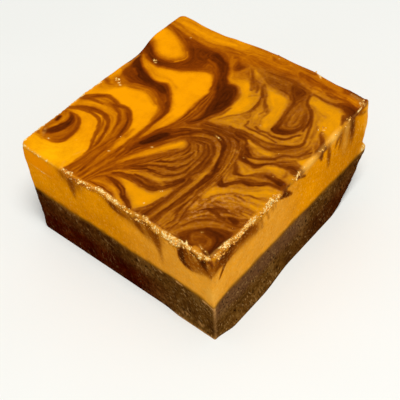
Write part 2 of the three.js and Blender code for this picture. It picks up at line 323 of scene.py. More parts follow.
def left_pools(top):
    """The plain pools and dark bands of the left half."""
    top.patch([-28, 19.4, -24, 20.8, -20, 20.8, -18, 20.9, -16, 20.5, -14, 20.3, -12, 20.7, -10.4, 20.3,
        -9, 19, -8, 17, -8.2, 15.2, -10.4, 13.9, -12, 12.7, -14.4, 11.2, -17, 10.2, -20, 9.7, -28, 11],
        0.66, 0.4)
    top.patch([-15, 19.8, -12, 20, -10, 18.6, -10.6, 16.6, -13.4, 16.4, -15, 18.4], 0.72, 0.8)
    top.line([-17.4, 18.6, -15.6, 17.2, -14.2, 15.4, -14.2, 13.4, -15.6, 12], [0.4, 0.8, 1, 0.9, 0.7], 0.72,
        0.5)
    top.patch([-11.4, 19.9, -9.4, 19.8, -8.2, 18.8, -8.4, 17.8, -10, 17.9, -11, 18.6], 0.88, 0.4)
    top.line([-10.9, 17.4, -9.6, 17.1, -8.2, 16.6, -7.2, 16], [0.4, 0.8, 0.6, 0.3], 0.44, 0.3)
    top.patch([-10.4, 16, -9.2, 16.4, -7.6, 15.8, -7.4, 14.9, -8.6, 14.9, -9.8, 14.9], 0.5, 0.35)
    # the round-ended pool by the left edge
    top.line([-28, 22, -25, 21.6, -22, 20.7, -19.6, 19.5, -17.4, 18], [1, 1.1, 0.9, 0.6],
        [0.5, 0.54, 0.6, 0.62], 0.5)
    top.patch([-28, 20.6, -24.4, 20.6, -22, 20, -20, 19, -18.4, 18.1, -16.9, 17.1, -16, 16.1, -15.5, 15.1,
        -15.8, 14, -16.7, 13, -17.9, 12.2, -19.7, 11.8, -21.6, 12.1, -23.4, 13.1, -25, 14.7, -28, 15.6],
        0.26, 0.3)
    top.line([-27, 13.5, -25, 13, -23.6, 11.9, -22, 10.9, -20, 10.4, -18, 10.7, -16.4, 11.2, -15, 12],
        [1.6, 1.6, 1.4, 1.3, 1.2, 1, 0.9], [0.84, 0.8, 0.8, 0.76, 0.72], 0.4)
    top.patch([-28, 20.4, -24.4, 20, -22, 19.2, -20.2, 18.3, -18.6, 17.3, -17.4, 16.4, -16.8, 15.2,
        -17.2, 14.2, -18.3, 13.3, -19.8, 12.8, -21.6, 13.1, -23.4, 14.1, -25, 15.7, -28, 16.8], PLAIN, 0.4)
    top.line([-16.6, 16.8, -15.7, 15.8, -15.4, 14.8, -15.8, 13.8, -16.8, 12.7], 0.3, 0.1, 0.2)
    # the plain bay, and its run down to a thread
    top.patch([-28, 3.2, -24.4, 6.6, -24.2, 3, -23, 1.2, -20.4, 0.7, -18, 1.2, -16, 1.8, -14.4, 1.9,
        -13, 1.4, -11.6, 0.7, -10.5, -0.3, -9.3, -1.5, -8.9, -3, -8.4, -4.5, -8.2, -6, -8.1, -10, -8.2, -12,
        -8.4, -14.6, -9.1, -15.6, -9.7, -14, -9.9, -12, -10.3, -10, -11, -8.3, -11.9, -7, -13, -6,
        -14, -5.1, -15.4, -4.7, -17, -5.2, -19, -4.6, -21, -4.4, -22.6, -5.2, -24.6, -7, -28, -8], PLAIN,
        0.32)
    top.line([-9.6, -9, -9.5, -11, -9.5, -13.4], [0.8, 1.1, 0.8], [0.2, 0.36, 0.3], 0.35)
    top.patch([-25.4, -0.6, -22, 0.4, -20.8, -1, -22.6, -3, -25.4, -5], 0.24, 0.9)
    # the dark band that crosses under the S
    top.patch([-28, 10.4, -24, 10.2, -23, 9.7, -22, 8.8, -21, 7.9, -20, 7.2, -18.5, 6.2, -17, 5.4,
        -15.4, 5.3, -14.4, 5.6, -13.4, 6, -12.4, 5.5, -11.4, 5, -10.4, 4.3, -9.4, 3.2, -8.6, 2.2, -8, 1.2,
        -7.2, 0, -7.1, -1.6, -8, -1.8, -8.6, -0.8, -10.2, 0.4, -11.2, 1.2, -12.2, 2, -13.4, 2.6, -14.6, 2.9,
        -16, 2.7, -17.6, 2.3, -19, 1.9, -20.5, 1.5, -22, 1.7, -23.4, 2.6, -24.2, 4.4, -24.4, 6.4, -28, 7.2],
        0.68, 0.4)
    top.line([-24.6, 9, -23, 7.2, -21, 5.6, -18.6, 4.7, -16, 4.3, -13.6, 4.3, -11.6, 3.7, -10.2, 2.5,
        -9, 1], [2, 2.3, 2.1, 1.6, 1.4, 1.2, 0.9], [0.88, 0.9, 0.9, 0.92, 0.88, 0.82, 0.76], 0.6)
    top.line([-22.6, 4.4, -20.6, 3, -18.4, 3, -16.4, 3.2], [1.2, 1, 0.5], 0.7, 0.5)
    top.line([-21.4, 0.4, -18, 1.2, -16, 1.8, -14, 1.6, -12.6, 0.8, -11.2, -0.2], [1, 1.5, 1.6, 1], 0.36,
        0.8)
    top.line([-19, 1.9, -16.6, 2.3, -14.4, 2.5, -12.6, 1.8, -11.2, 0.7], 0.4, 0.44, 0.3)
    top.lines([(1, [-11.4, 2.6, -10.2, 1.7]), (0.7, [-22.6, 5.6, -21, 4.6])], 0.58, 0.4)
    top.patch([-25.8, 3.2, -24.3, 3.2, -23.4, 1.8, -24.1, 0.7, -25.8, 1], 0.06, 0.35)
    top.patch([-24, 2.2, -22, 2, -20.6, 1, -21.4, -0.6, -23.4, -0.6, -24.2, 0.6], 0.4, 0.5)
    top.line([-26, -0.6, -24.6, -0.7, -23.6, -1.3, -22.4, -1.1], [1.2, 1.1, 0.6], [0.6, 0.56, 0.36], 0.4)
    top.line([-24.9, 9.4, -24.7, 7, -24.8, 4], 0.5, 0.3, 0.3)
    # the S, from the left edge up and over, and down its leg
    top.patch([-25, 11.3, -24, 10.5, -22.4, 9.7, -20.5, 9, -18.6, 9.2, -16.6, 9.8, -15, 10.4, -13.6, 10.9,
        -12.2, 11.7, -10.8, 12.7, -9.6, 13.5, -8.2, 14, -7, 13.8, -6, 12.7, -5.2, 11.5, -4.7, 10.2,
        -4.3, 8.8, -4.2, 7, -4.3, 5, -4.2, 3, -4, 1.5, -4, 0, -4.2, -1, -4.6, -3, -5.3, -5, -5.9, -7,
        -6.4, -9, -6.6, -10.4, -6.9, -9, -6.8, -5, -7, -3, -7.2, -0.5, -7.7, 1, -8.7, 2.4, -9.5, 3.4,
        -10.5, 4.3, -11.4, 5.1, -12.4, 5.8, -13.4, 6.3, -14.3, 5.8, -15.4, 5.5, -17, 5.6, -18.5, 6.4,
        -20, 7.4, -21, 8.1, -22, 8.9, -23, 9.8], PLAIN, 0.32)
    top.line([-24, 10.2, -22, 8.7, -20, 7.6, -17, 7, -14, 7.4, -11, 6.4], [0.6, 1.4, 1.4, 1, 0.8, 0.4],
        0.16, 0.7)
    top.line([-5.6, -1, -6, -4, -6.4, -7, -6.7, -9.6], [0.6, 0.8, 0.6], [0.06, 0.16, 0.24], 0.3)
    top.line([-7, 0.6, -6.8, -2, -6.8, -6], 0.4, 0.16, 0.3)
    top.line([-9.2, 1.6, -8.4, 0.6, -7.6, -0.8, -7.4, -2.4, -7.4, -4, -7.6, -6, -7.5, -9, -7.7, -10.5,
        -8, -12, -8, -15], [1, 0.8, 0.7, 0.8, 0.8, 0.9], [0.74, 0.7, 0.64, 0.62, 0.6], 0.3)
    top.line([-3.5, 1, -3.4, -0.5, -3.6, -2, -4, -3.5, -4.6, -5, -5.2, -6, -5.7, -7.5, -6.3, -9.6],
        [0.5, 0.6, 0.7, 0.5], 0.58, 0.22)
    # the dark ridge that runs from the far left over to the drop
    top.patch([-10.8, 20.4, -9.4, 20, -8, 19.3, -6.8, 18.8, -5.7, 18, -4.8, 17, -4.2, 15.8, -3.7, 14.8,
        -3, 13.8, -3, 12, -3.5, 10.4, -4.2, 11.6, -4.9, 13, -5.7, 14.4, -6.5, 15.6, -7.4, 16.6, -8.6, 17.6,
        -9.8, 18.4, -10.8, 19.4], 0.84, 0.35)
    top.line([-8.2, 15.2, -7, 14.7, -5.8, 13.3, -5, 11.8, -4.4, 10], [0.4, 0.6, 0.5], 0.62, 0.25)
    top.line([-5.6, 15.6, -4.6, 14, -3.6, 12.4], 0.6, 0.68, 0.35)


def left_loops(top):
    """The loops that sweep round the near left corner, and the dark eye in it."""
    top.patch([-28, -7.6, -24, -7.2, -21.5, -4.9, -18, -5, -15, -5.2, -13, -6.6, -11.4, -9.4, -11, -13,
        -12, -17, -12.4, -28, -28, -28], 0.05, 0.2)
    top.threads([-25, -8, -23, -6.6, -21, -5.4, -18, -5.6, -15, -5.6, -13, -7, -11.6, -9.6, -11.2, -14],
        [-25, -11, -22, -9.4, -19, -8.9, -16, -9.2, -14.8, -10.2, -13.9, -11.8, -13.2, -14, -12.4, -18],
        [0.42, 0.26, 0.36, 0.16, 0.14, 0.2, 0.24], 0.06, 0.25)
    top.line([-26, -8.8, -24.8, -7.8, -24, -6.9, -23, -5.9, -22, -5.1, -20.8, -4.6, -19.4, -4.6, -18, -5,
        -17, -5.5], [1.4, 1.5, 1.3, 1.2, 1.1, 1, 0.9], [0.54, 0.6, 0.64, 0.62, 0.6], 0.4)
    top.line([-18, -5.8, -16.8, -5.3, -15.4, -4.9, -14.2, -5.3, -13, -6.4, -12, -7.8, -11.2, -9.6,
        -10.9, -11.6, -10.8, -13.6, -10.7, -16], [0.7, 1, 1, 1.1, 1.2, 1.3, 1.3, 1.3, 1.2],
        [0.6, 0.66, 0.66, 0.6, 0.58], 0.32)
    top.line([-15.2, -5.6, -13.6, -7, -12.4, -9, -11.7, -11.4, -11.4, -14], 0.3, [0.5, 0.48, 0.44], 0.2)
    top.line([-14, -6, -12.4, -7.8, -11.2, -10.2, -10.6, -13], 0.3, 0.74, 0.2)
    top.line([-24, -7.4, -22.4, -7.2, -21, -7.1, -20.2, -7], [1.2, 0.8, 0.4], 0.54, 0.3)
    top.line([-19, -6, -17, -6.4, -15.4, -7, -14.4, -8, -13.5, -9.4, -12.9, -11.2, -12.4, -13.2, -12, -16],
        [0.7, 0.9, 0.9, 0.8, 0.6, 0.5], [0.5, 0.6, 0.58, 0.5], 0.25)
    top.line([-13.9, -9.8, -13.2, -11.6, -12.8, -13.6], 0.4, 0.24, 0.2)
    top.line([-26, -12.6, -24.8, -11.8, -23.6, -10.9, -22.2, -10.1, -20.4, -9.5, -18.4, -9.2, -16.8, -9.5,
        -15.6, -10.3, -14.7, -11.4, -14, -12.7, -13.4, -14.3, -12.8, -16.4, -12.2, -19],
        [1, 1.2, 1.4, 1.2, 1, 0.9, 0.9, 0.8], [0.48, 0.58, 0.62, 0.6, 0.62, 0.6], 0.28)
    top.line([-25, -12, -23, -11, -21, -10.6, -18.8, -10.6, -17.4, -11.1, -16.3, -12.2, -15.3, -13.8,
        -14.5, -15.5, -13.6, -17.2, -12.8, -18.8, -12.4, -21], [0.5, 0.7, 0.8, 0.8, 0.8, 0.7, 0.6],
        [0.5, 0.58, 0.62, 0.58], 0.22)
    top.line([-17.6, -9.9, -16.2, -10.9, -15.2, -12.3, -14.2, -14.2, -13.3, -16.6], 0.22,
        [0.34, 0.38, 0.44], 0.16)
    top.line([-16.6, -10.6, -15.4, -12.6, -14.4, -14.6], 0.25, 0.52, 0.14)
    # the eye
    top.patch([-28, -13.2, -24, -12.8, -21.6, -12.9, -20.2, -13.7, -19, -15, -18.6, -16.6, -18.6, -19.6,
        -19.4, -20.9, -21, -21.8, -23.5, -22, -28, -21], 0.38, 0.3)
    top.line([-23.4, -13, -22, -13, -20.8, -13.7, -19.8, -14.9, -19.2, -16.4, -19, -18, -19, -19.6,
        -19.6, -20.6, -20.8, -21.1, -22.4, -21.3], [0.6, 0.8, 0.9, 1, 1, 1.1, 1],
        [0.56, 0.6, 0.58, 0.6, 0.64, 0.5, 0.36], 0.3)
    top.line([-23.8, -13.2, -22.8, -13.7, -22, -14.8, -21.9, -16.2, -22.3, -17.6, -22.9, -18.9,
        -23.6, -19.9, -24.4, -20.4], [0.7, 1.2, 1.8, 2, 1.9, 1.6, 1], [0.64, 0.78, 0.84, 0.84, 0.84, 0.76],
        0.34)
    top.line([-20.8, -15, -20.3, -17, -20.6, -19, -21.4, -20.4], 0.5, 0.46, 0.25)
    top.line([-24.6, -13.6, -23.8, -14.6, -23.7, -17, -24.3, -18.6], [0.7, 0.9, 0.7], 0.24, 0.3)
    top.line([-24.8, -15.4, -24.6, -16.4], 0.8, 0.92, 0.35)
    top.line([-25.6, -19.8, -24.4, -21.2, -23, -22], 0.6, 0.2, 0.3)


def fan(top):
    """The sheaf that narrows towards the front edge, and the swirls that feed it."""
    top.threads([-11.4, -13, -12, -16, -12.5, -19, -12.5, -22, -13, -25, -13.2, -27.4],
        [-8.2, -13, -8.1, -16, -8.6, -20, -9, -24, -9.2, -27.4],
        [0.48, 0.56, 0.38, 0.54, 0.4, 0.56, 0.36, 0.42, 0.52, 0.4, 0.42, 0.5], 0.06, 0.2)
    top.patch([-9.9, -12, -8.4, -12, -8.5, -14.6, -9, -17, -9.6, -14.6], 0.06, 0.3)
    top.line([-9.2, -15.6, -9.3, -18, -9.6, -20], [0.7, 0.5, 0.3], [0.16, 0.3, 0.4], 0.2)
    top.threads([-8.2, -14, -8.3, -18, -9, -22, -9.6, -27.4],
        [-5.6, -14.5, -6.2, -17.8, -7.2, -21.4, -8, -27.4], [0.66, 0.56, 0.36, 0.34, 0.56, 0.56], 0.07,
        0.16)
    top.threads([-6.2, -17.8, -7.2, -21.4, -8.4, -27.4],
        [-4.2, -21.6, -5.2, -22.4, -6.2, -23.6, -7.4, -27.4], [0.6, 0.36, 0.58, 0.4, 0.6], 0.07, 0.16)
    top.line([-12.9, -17.6, -12.5, -19.4, -12.3, -21.4, -12.6, -23.4, -13, -25.6], [0.5, 0.6, 0.6, 0.7],
        0.46, 0.25)
    top.line([-11.4, -17, -11.2, -20, -11.3, -23], 0.3, 0.4, 0.2)
    top.line([-12.9, -10, -12.5, -12.4, -12.2, -15, -12.4, -19, -12.9, -23], 0.35, 0.34, 0.2)
    top.line([-10.7, -16, -10.3, -20, -10.2, -24], 0.4, 0.62, 0.2)
    top.line([-6.6, -11.5, -6.7, -14, -7.2, -17], [0.5, 0.7, 0.4], [0.66, 0.56, 0.5], 0.2)


def dark_blob(top):
    """The dark drop in the middle of the far half, and the threads down its left side."""
    top.threads([-4.3, 9.6, -4.3, 7.5, -4.5, 6, -4.4, 4.5, -4.2, 3, -3.9, 1, -3.9, -1],
        [-2.6, 9.4, -2, 7, -1.6, 5, -1.2, 3, -1.3, 1, -2, -1, -2.8, -3],
        [0.26, 0.6, 0.68, 0.4, 0.7, 0.42, 0.66, 0.46, 0.5], 0.05, 0.16)
    top.patch([-3.9, 14.4, -4.7, 12.8, -4, 11.2, -3.2, 10.2, -2.6, 9, -2.2, 8, -1.9, 6.8, -1.6, 5.6,
        -1.2, 4.2, -1, 3, -1, 1.8, -1.5, 0.4, -2.1, -0.8, -1.4, -0.6, -0.5, 0.7, 0.1, 2, 0.5, 3.2, 1, 4.4,
        1.6, 5.6, 2, 7, 2.2, 8.2, 2.1, 9.6, 1.8, 10.8, 1.4, 11.8, 0.8, 12.7, 0.2, 13.4, -0.6, 14, -1.4, 14,
        -2.2, 13.6, -3, 13.8], 0.84, 0.26)
    top.patch([-1.8, 11.6, -0.7, 12.4, 0.4, 11.4, 0.7, 9, 0.3, 6, -0.5, 5.6, -1.4, 8], 0.9, 0.5)
    top.line([2.7, 8, 2.3, 6.2, 1.6, 4.4, 0.7, 2.4], [0.5, 0.8, 0.6], 0.56, 0.3)
    top.line([-4, 13.4, -3.2, 12.2, -2.8, 11], [0.8, 0.7, 0.3], 0.7, 0.35)
    top.line([-1.9, 5.6, -1.6, 4, -1.5, 2.4, -1.7, 1], 0.35, 0.46, 0.2)


def far_right(top):
    """The pools and threads between the dark drop and the right edge."""
    top.patch([-3.4, 14.6, -1, 14.8, 0.6, 14, 2, 12.8, 2.6, 10.5, 2.2, 7.5, 1.6, 5, 0.3, 2.2, 2, 2.2,
        4, 2.8, 6, 3.3, 9, 4.1, 13, 4.1, 16, 5, 18.6, 6.2, 20.4, 8, 25, 12, 27, 21, 18, 20.8, 13.5, 20.6,
        8, 20.4, 4, 20, 0, 20, -5, 20.6, -6.6, 20.6, -5.4, 17.8], 0.26, 0.3)
    top.line([-7.3, 21.2, -6.5, 20, -6, 19, -5.3, 17.8, -4.5, 17, -3.6, 16.2], [0.5, 0.6, 0.9],
        [0.3, 0.24, 0.16], 0.25)
    top.patch([-3.8, 15, -2, 14.3, 0, 14.6, 1.2, 13.6, 2, 12.6, 2.5, 10.6, 2.3, 8, 2.1, 6, 1.3, 4, 0.7, 2.5,
        2.2, 4.2, 3.2, 5.6, 4.6, 7.2, 5.7, 8.6, 5.9, 10.6, 5.7, 12, 5, 13, 3.8, 13, 3, 14.4, 2, 15.6,
        0.8, 16.4, -0.6, 16.4, -2, 15.6, -3.2, 15.4], 0.06, 0.4)
    top.patch([-5.2, 21, -4.2, 22, -2.8, 21.9, -2.2, 20.8, -2.6, 19.2, -3.4, 17.8, -4.4, 17.8, -4.9, 19.2],
        0.74, 0.35)
    top.line([-6.2, 20.4, -5.7, 21.8, -4.4, 22.9, -2.6, 22.9], [0.4, 0.5, 0.4], 0.28, 0.3)
    top.patch([-2, 21.2, -0.6, 20.2, 0.4, 18.2, -0.8, 17, -2.2, 16.7, -2.6, 18, -2.2, 19.6], 0.38, 0.4)
    top.patch([0.4, 18.4, 2, 18.3, 3.9, 17.8, 4.2, 16.6, 3.6, 15.4, 2.6, 14.9, 1.7, 15.9, 0.8, 17.2], 0.54,
        0.35)
    top.lines([
        (0.7, [2.8, 15, 1.8, 16.6, 0.6, 18.2, -0.4, 19.4, -1.6, 20.9]),
        (0.5, [2.6, 17.4, 3.6, 16.4, 4, 15]), (0.6, [-3, 21.9, -1, 20.8]),
        (0.4, [-6.4, 21.2, -4.6, 22.2, -2, 22.2]),
    ], 0.58, 0.22)
    top.line([3.6, 13.3, 4.4, 13.9, 5, 14.4], 0.4, 0.4, 0.2)
    top.line([4.2, 17.2, 5, 16, 5.7, 15, 6.2, 13.9, 6.5, 12.7, 6.6, 11.4, 6.5, 10.2, 6.2, 9, 5.7, 8.1,
        5, 7.2, 4.2, 6.4, 3.5, 5.4, 3, 4.6, 2.6, 3.9], [0.8, 0.9, 0.8, 0.8, 0.8, 0.5, 0.35, 0.25],
        [0.66, 0.68, 0.64, 0.5, 0.42], 0.2)
    top.line([4, 17.8, 5.2, 16.7, 6, 15.7, 6.7, 14.6, 7.4, 13.7, 8.2, 12.8, 9, 12, 9.8, 11.4],
        [0.6, 0.8, 0.7, 1.1, 0.7], 0.66, 0.24)
    top.line([6.3, 14.2, 7, 12.8, 7.6, 11.6], 0.4, 0.44, 0.25)
    top.lines([
        (0.5, [8.9, 12.4, 8.9, 11.2, 8.5, 10.1]),
        (0.5, [9.6, 12.6, 9.9, 11, 9.8, 9.6, 10.1, 8.4, 10.7, 7.4]), (0.3, [7.2, 10.8, 6.8, 9.4, 7.4, 8.4]),
    ], 0.54, 0.2)
    top.patch([5.6, 8.6, 7, 8.8, 7.8, 8.2, 7.2, 7.5, 6, 7.4], 0.44, 0.3)
    top.line([7.4, 12, 8, 10.6, 8.2, 8.8], 0.5, 0.2, 0.3)
    top.line([-0.4, 20.4, 1.6, 19.4, 4, 18.6, 6, 18.2], [0.5, 0.6, 0.4], 0.2, 0.25)
    top.patch([2, 20, 6.4, 21.4, 9, 21, 10, 19.6, 10.8, 17.8, 8.4, 17.3, 6, 17.5, 4, 18.2], 0.56, 0.5)
    top.patch([4.6, 17.9, 6, 16.2, 7.6, 14.6, 9, 13.3, 9.9, 12.2, 10.2, 10.6, 10.3, 9, 10.7, 7.8, 11.4, 7,
        12.3, 7, 12.9, 8.3, 13, 10, 12.7, 11.6, 12.2, 13.2, 11.6, 15, 11, 16.2, 10, 17, 8.6, 17.2, 7, 17.2],
        0.04, 0.4)
    top.patch([4.5, 20.2, 5.4, 20.8, 6.4, 20.2, 6.2, 19.2, 5, 19], 0.6, 0.3)
    top.line([6, 21.2, 8, 20.9, 9.5, 20.6, 10.6, 20.2], [0.4, 0.6, 0.8], 0.66, 0.25)
    # the wide pool right of the brown drop
    top.patch([14.4, 20.8, 14.8, 19, 16, 17.8, 18, 17.4, 19.6, 16.6, 20, 14.4, 20.8, 12.6, 22.5, 13.4,
        24.2, 12.2, 25.6, 13.5, 25.8, 20, 24, 21, 19, 21], 0.04, 0.35)
    top.line([15.6, 18.2, 17.4, 17.8, 19.2, 17.3, 20, 17.2], 0.5, 0.3, 0.35)
    top.line([22.9, 21, 23.3, 19.8, 24, 18.8], [1.2, 0.8, 0.4], 0.5, 0.3)
    top.patch([20.8, 13.4, 22, 12.8, 23.4, 10.8, 23.4, 8.8, 21.4, 7.6, 20.8, 10.6], 0.24, 0.5)
    top.line([25, 20, 24.9, 16, 24.7, 12], 0.8, 0.12, 0.3)
    top.line([20.3, 14, 20.9, 12, 21.2, 10.6], [0.6, 0.8, 0.5], 0.44, 0.3)


def brown_drop(top):
    """The long brown drop and the nested lines that hang under it."""
    top.patch([9.6, 21.6, 13.6, 21.6, 14.2, 19.6, 15.2, 17.6, 17.1, 15.8, 18, 14.2, 18.5, 12.2, 18.2, 10.3,
        17.6, 9, 16.6, 8.2, 15.4, 7.7, 14.2, 7.5, 13.2, 7.9, 13, 9.5, 12.9, 11, 12.5, 12.6, 12, 14.2,
        11.7, 16, 11, 17.8, 9.9, 19.2, 9.2, 20.6], 0.56, 0.28)
    top.patch([9.2, 21.2, 12.8, 21.2, 12.8, 19.6, 12.2, 18, 11.6, 17, 11.2, 18.2, 10, 19.6], 0.76, 0.4)
    top.line([12.4, 17, 12.6, 14.6, 13.2, 12, 13.6, 10], [0.8, 0.8, 1], [0.66, 0.64, 0.74], 0.25)
    top.threads([13.2, 18, 13.4, 14, 13.9, 11.4, 14.6, 10], [15.4, 17, 16.9, 14.4, 17.5, 12.4, 17, 11],
        [0.54, 0.46, 0.56, 0.42, 0.5, 0.4, 0.48, 0.56], 0.06, 0.2, 0.9)
    top.line([14.2, 15.4, 14.7, 13, 15.3, 11.4, 16.1, 11.6, 16.5, 13], 0.3, 0.36, 0.2)
    top.line([13.7, 10.6, 13.8, 8.8, 14.6, 8.5, 15.8, 8.9, 16.8, 9.6, 17.5, 10.6, 17.8, 12, 17.3, 13.8],
        [0.6, 1.5, 1.7, 1.4, 1, 0.7, 0.5], [0.7, 0.8, 0.82, 0.78, 0.7, 0.64, 0.58], 0.35)
    top.line([13.4, 8.3, 14.6, 7.9, 15.8, 8.3], 0.6, 0.86, 0.2)
    lines = [
        (0.65, [13.8, 20.4, 14.4, 18.8, 15, 17.9, 16, 17.4, 16.9, 16.8, 17.6, 16, 18.2, 15, 18.7, 14,
            19.3, 12.8, 19.9, 11.6, 20.3, 10.6, 20.6, 9.6, 20.9, 8.8, 20.9, 7.8, 20.4, 6.9, 19.7, 6.3,
            18.8, 5.9, 18, 5.4, 17, 4.8, 16, 4.5]),
        (0.6, [16, 4.5, 14.5, 4.2, 11, 4.2, 9, 4.2, 7.5, 3.8, 6, 3.5]),
        (0.65, [19, 9.9, 18.3, 9, 17.8, 8, 17, 7.2, 16, 6.8, 14.5, 6.6, 12.6, 6.5, 11.5, 6.2, 10.3, 6.6]),
        (0.5, [16.2, 5.5, 14.6, 5.6, 13, 5.7, 11, 5.6, 9.5, 5.5, 8.2, 5.8, 8.3, 6.3, 8, 7]),
        (0.7, [13.2, 3.4, 14.5, 3, 15.5, 2.9, 16.5, 3.2, 17.3, 3.8, 18.3, 4.3, 18.9, 5, 19.4, 5.9]),
        (0.6, [23.4, 8.7, 22.9, 7.5, 22.9, 6.5, 22.5, 5.8, 22.2, 5, 21.5, 4.4, 20.8, 4, 20, 3.4, 19.4, 2.7,
            19, 1.9, 18.4, 1.3, 17.6, 0.8, 16.6, 0.6]),
    ]
    top.lines(lines, BROWN, 0.2)
    top.line([14.2, 19, 15.7, 17.4, 17.4, 15.8, 18.3, 13.8, 18.7, 11.4], 0.5, 0.72, 0.2)
    top.line([20.8, 9.2, 20.8, 7.8, 19.8, 6.5, 18.4, 5.7], 0.3, 0.74, 0.14)
    top.line([21.8, 9.6, 21.9, 7.6, 21.3, 6, 20.4, 5.2], 0.35, 0.4, 0.2)
    top.line([19.4, 10.6, 19.6, 9, 19.2, 7.8], 0.4, 0.42, 0.25)
    top.line([15.6, 18.4, 17.2, 17.7, 18.6, 16.2, 19.6, 14.4, 20.8, 12.6], 0.3, 0.36, 0.2)
    top.line([22, 13.2, 22.6, 12.4, 23.2, 11.7, 24.2, 10.5, 25.8, 9], [0.6, 1, 1.1, 1.2], [0.6, 0.72, 0.76],
        0.25)
    top.patch([22.2, 10.6, 23.2, 10.4, 24.2, 9.4, 24.8, 7.8, 23.6, 6.8, 23, 8, 22.5, 9.4], 0.5, 0.35)
    top.line([24.4, 9.6, 24.2, 8.2, 23.4, 6.8], [0.6, 0.5, 0.4], 0.74, 0.2)
    top.line([22.6, 9.4, 23.6, 8.2, 24.2, 6.6], 0.3, 0.3, 0.2)
    top.line([19.6, 1.6, 20.6, 2.6, 21.6, 3.3, 22.2, 4], [0.5, 0.8, 0.6], 0.34, 0.25)
    top.patch([22.6, 3.6, 23.5, 4.8, 24.5, 6.8, 26, 8, 26, 3.4, 24.4, 3.2], 0.03, 0.22)
    top.line([6, 4.6, 9, 4.9, 12, 4.9, 14.6, 5], 0.5, 0.22, 0.2)


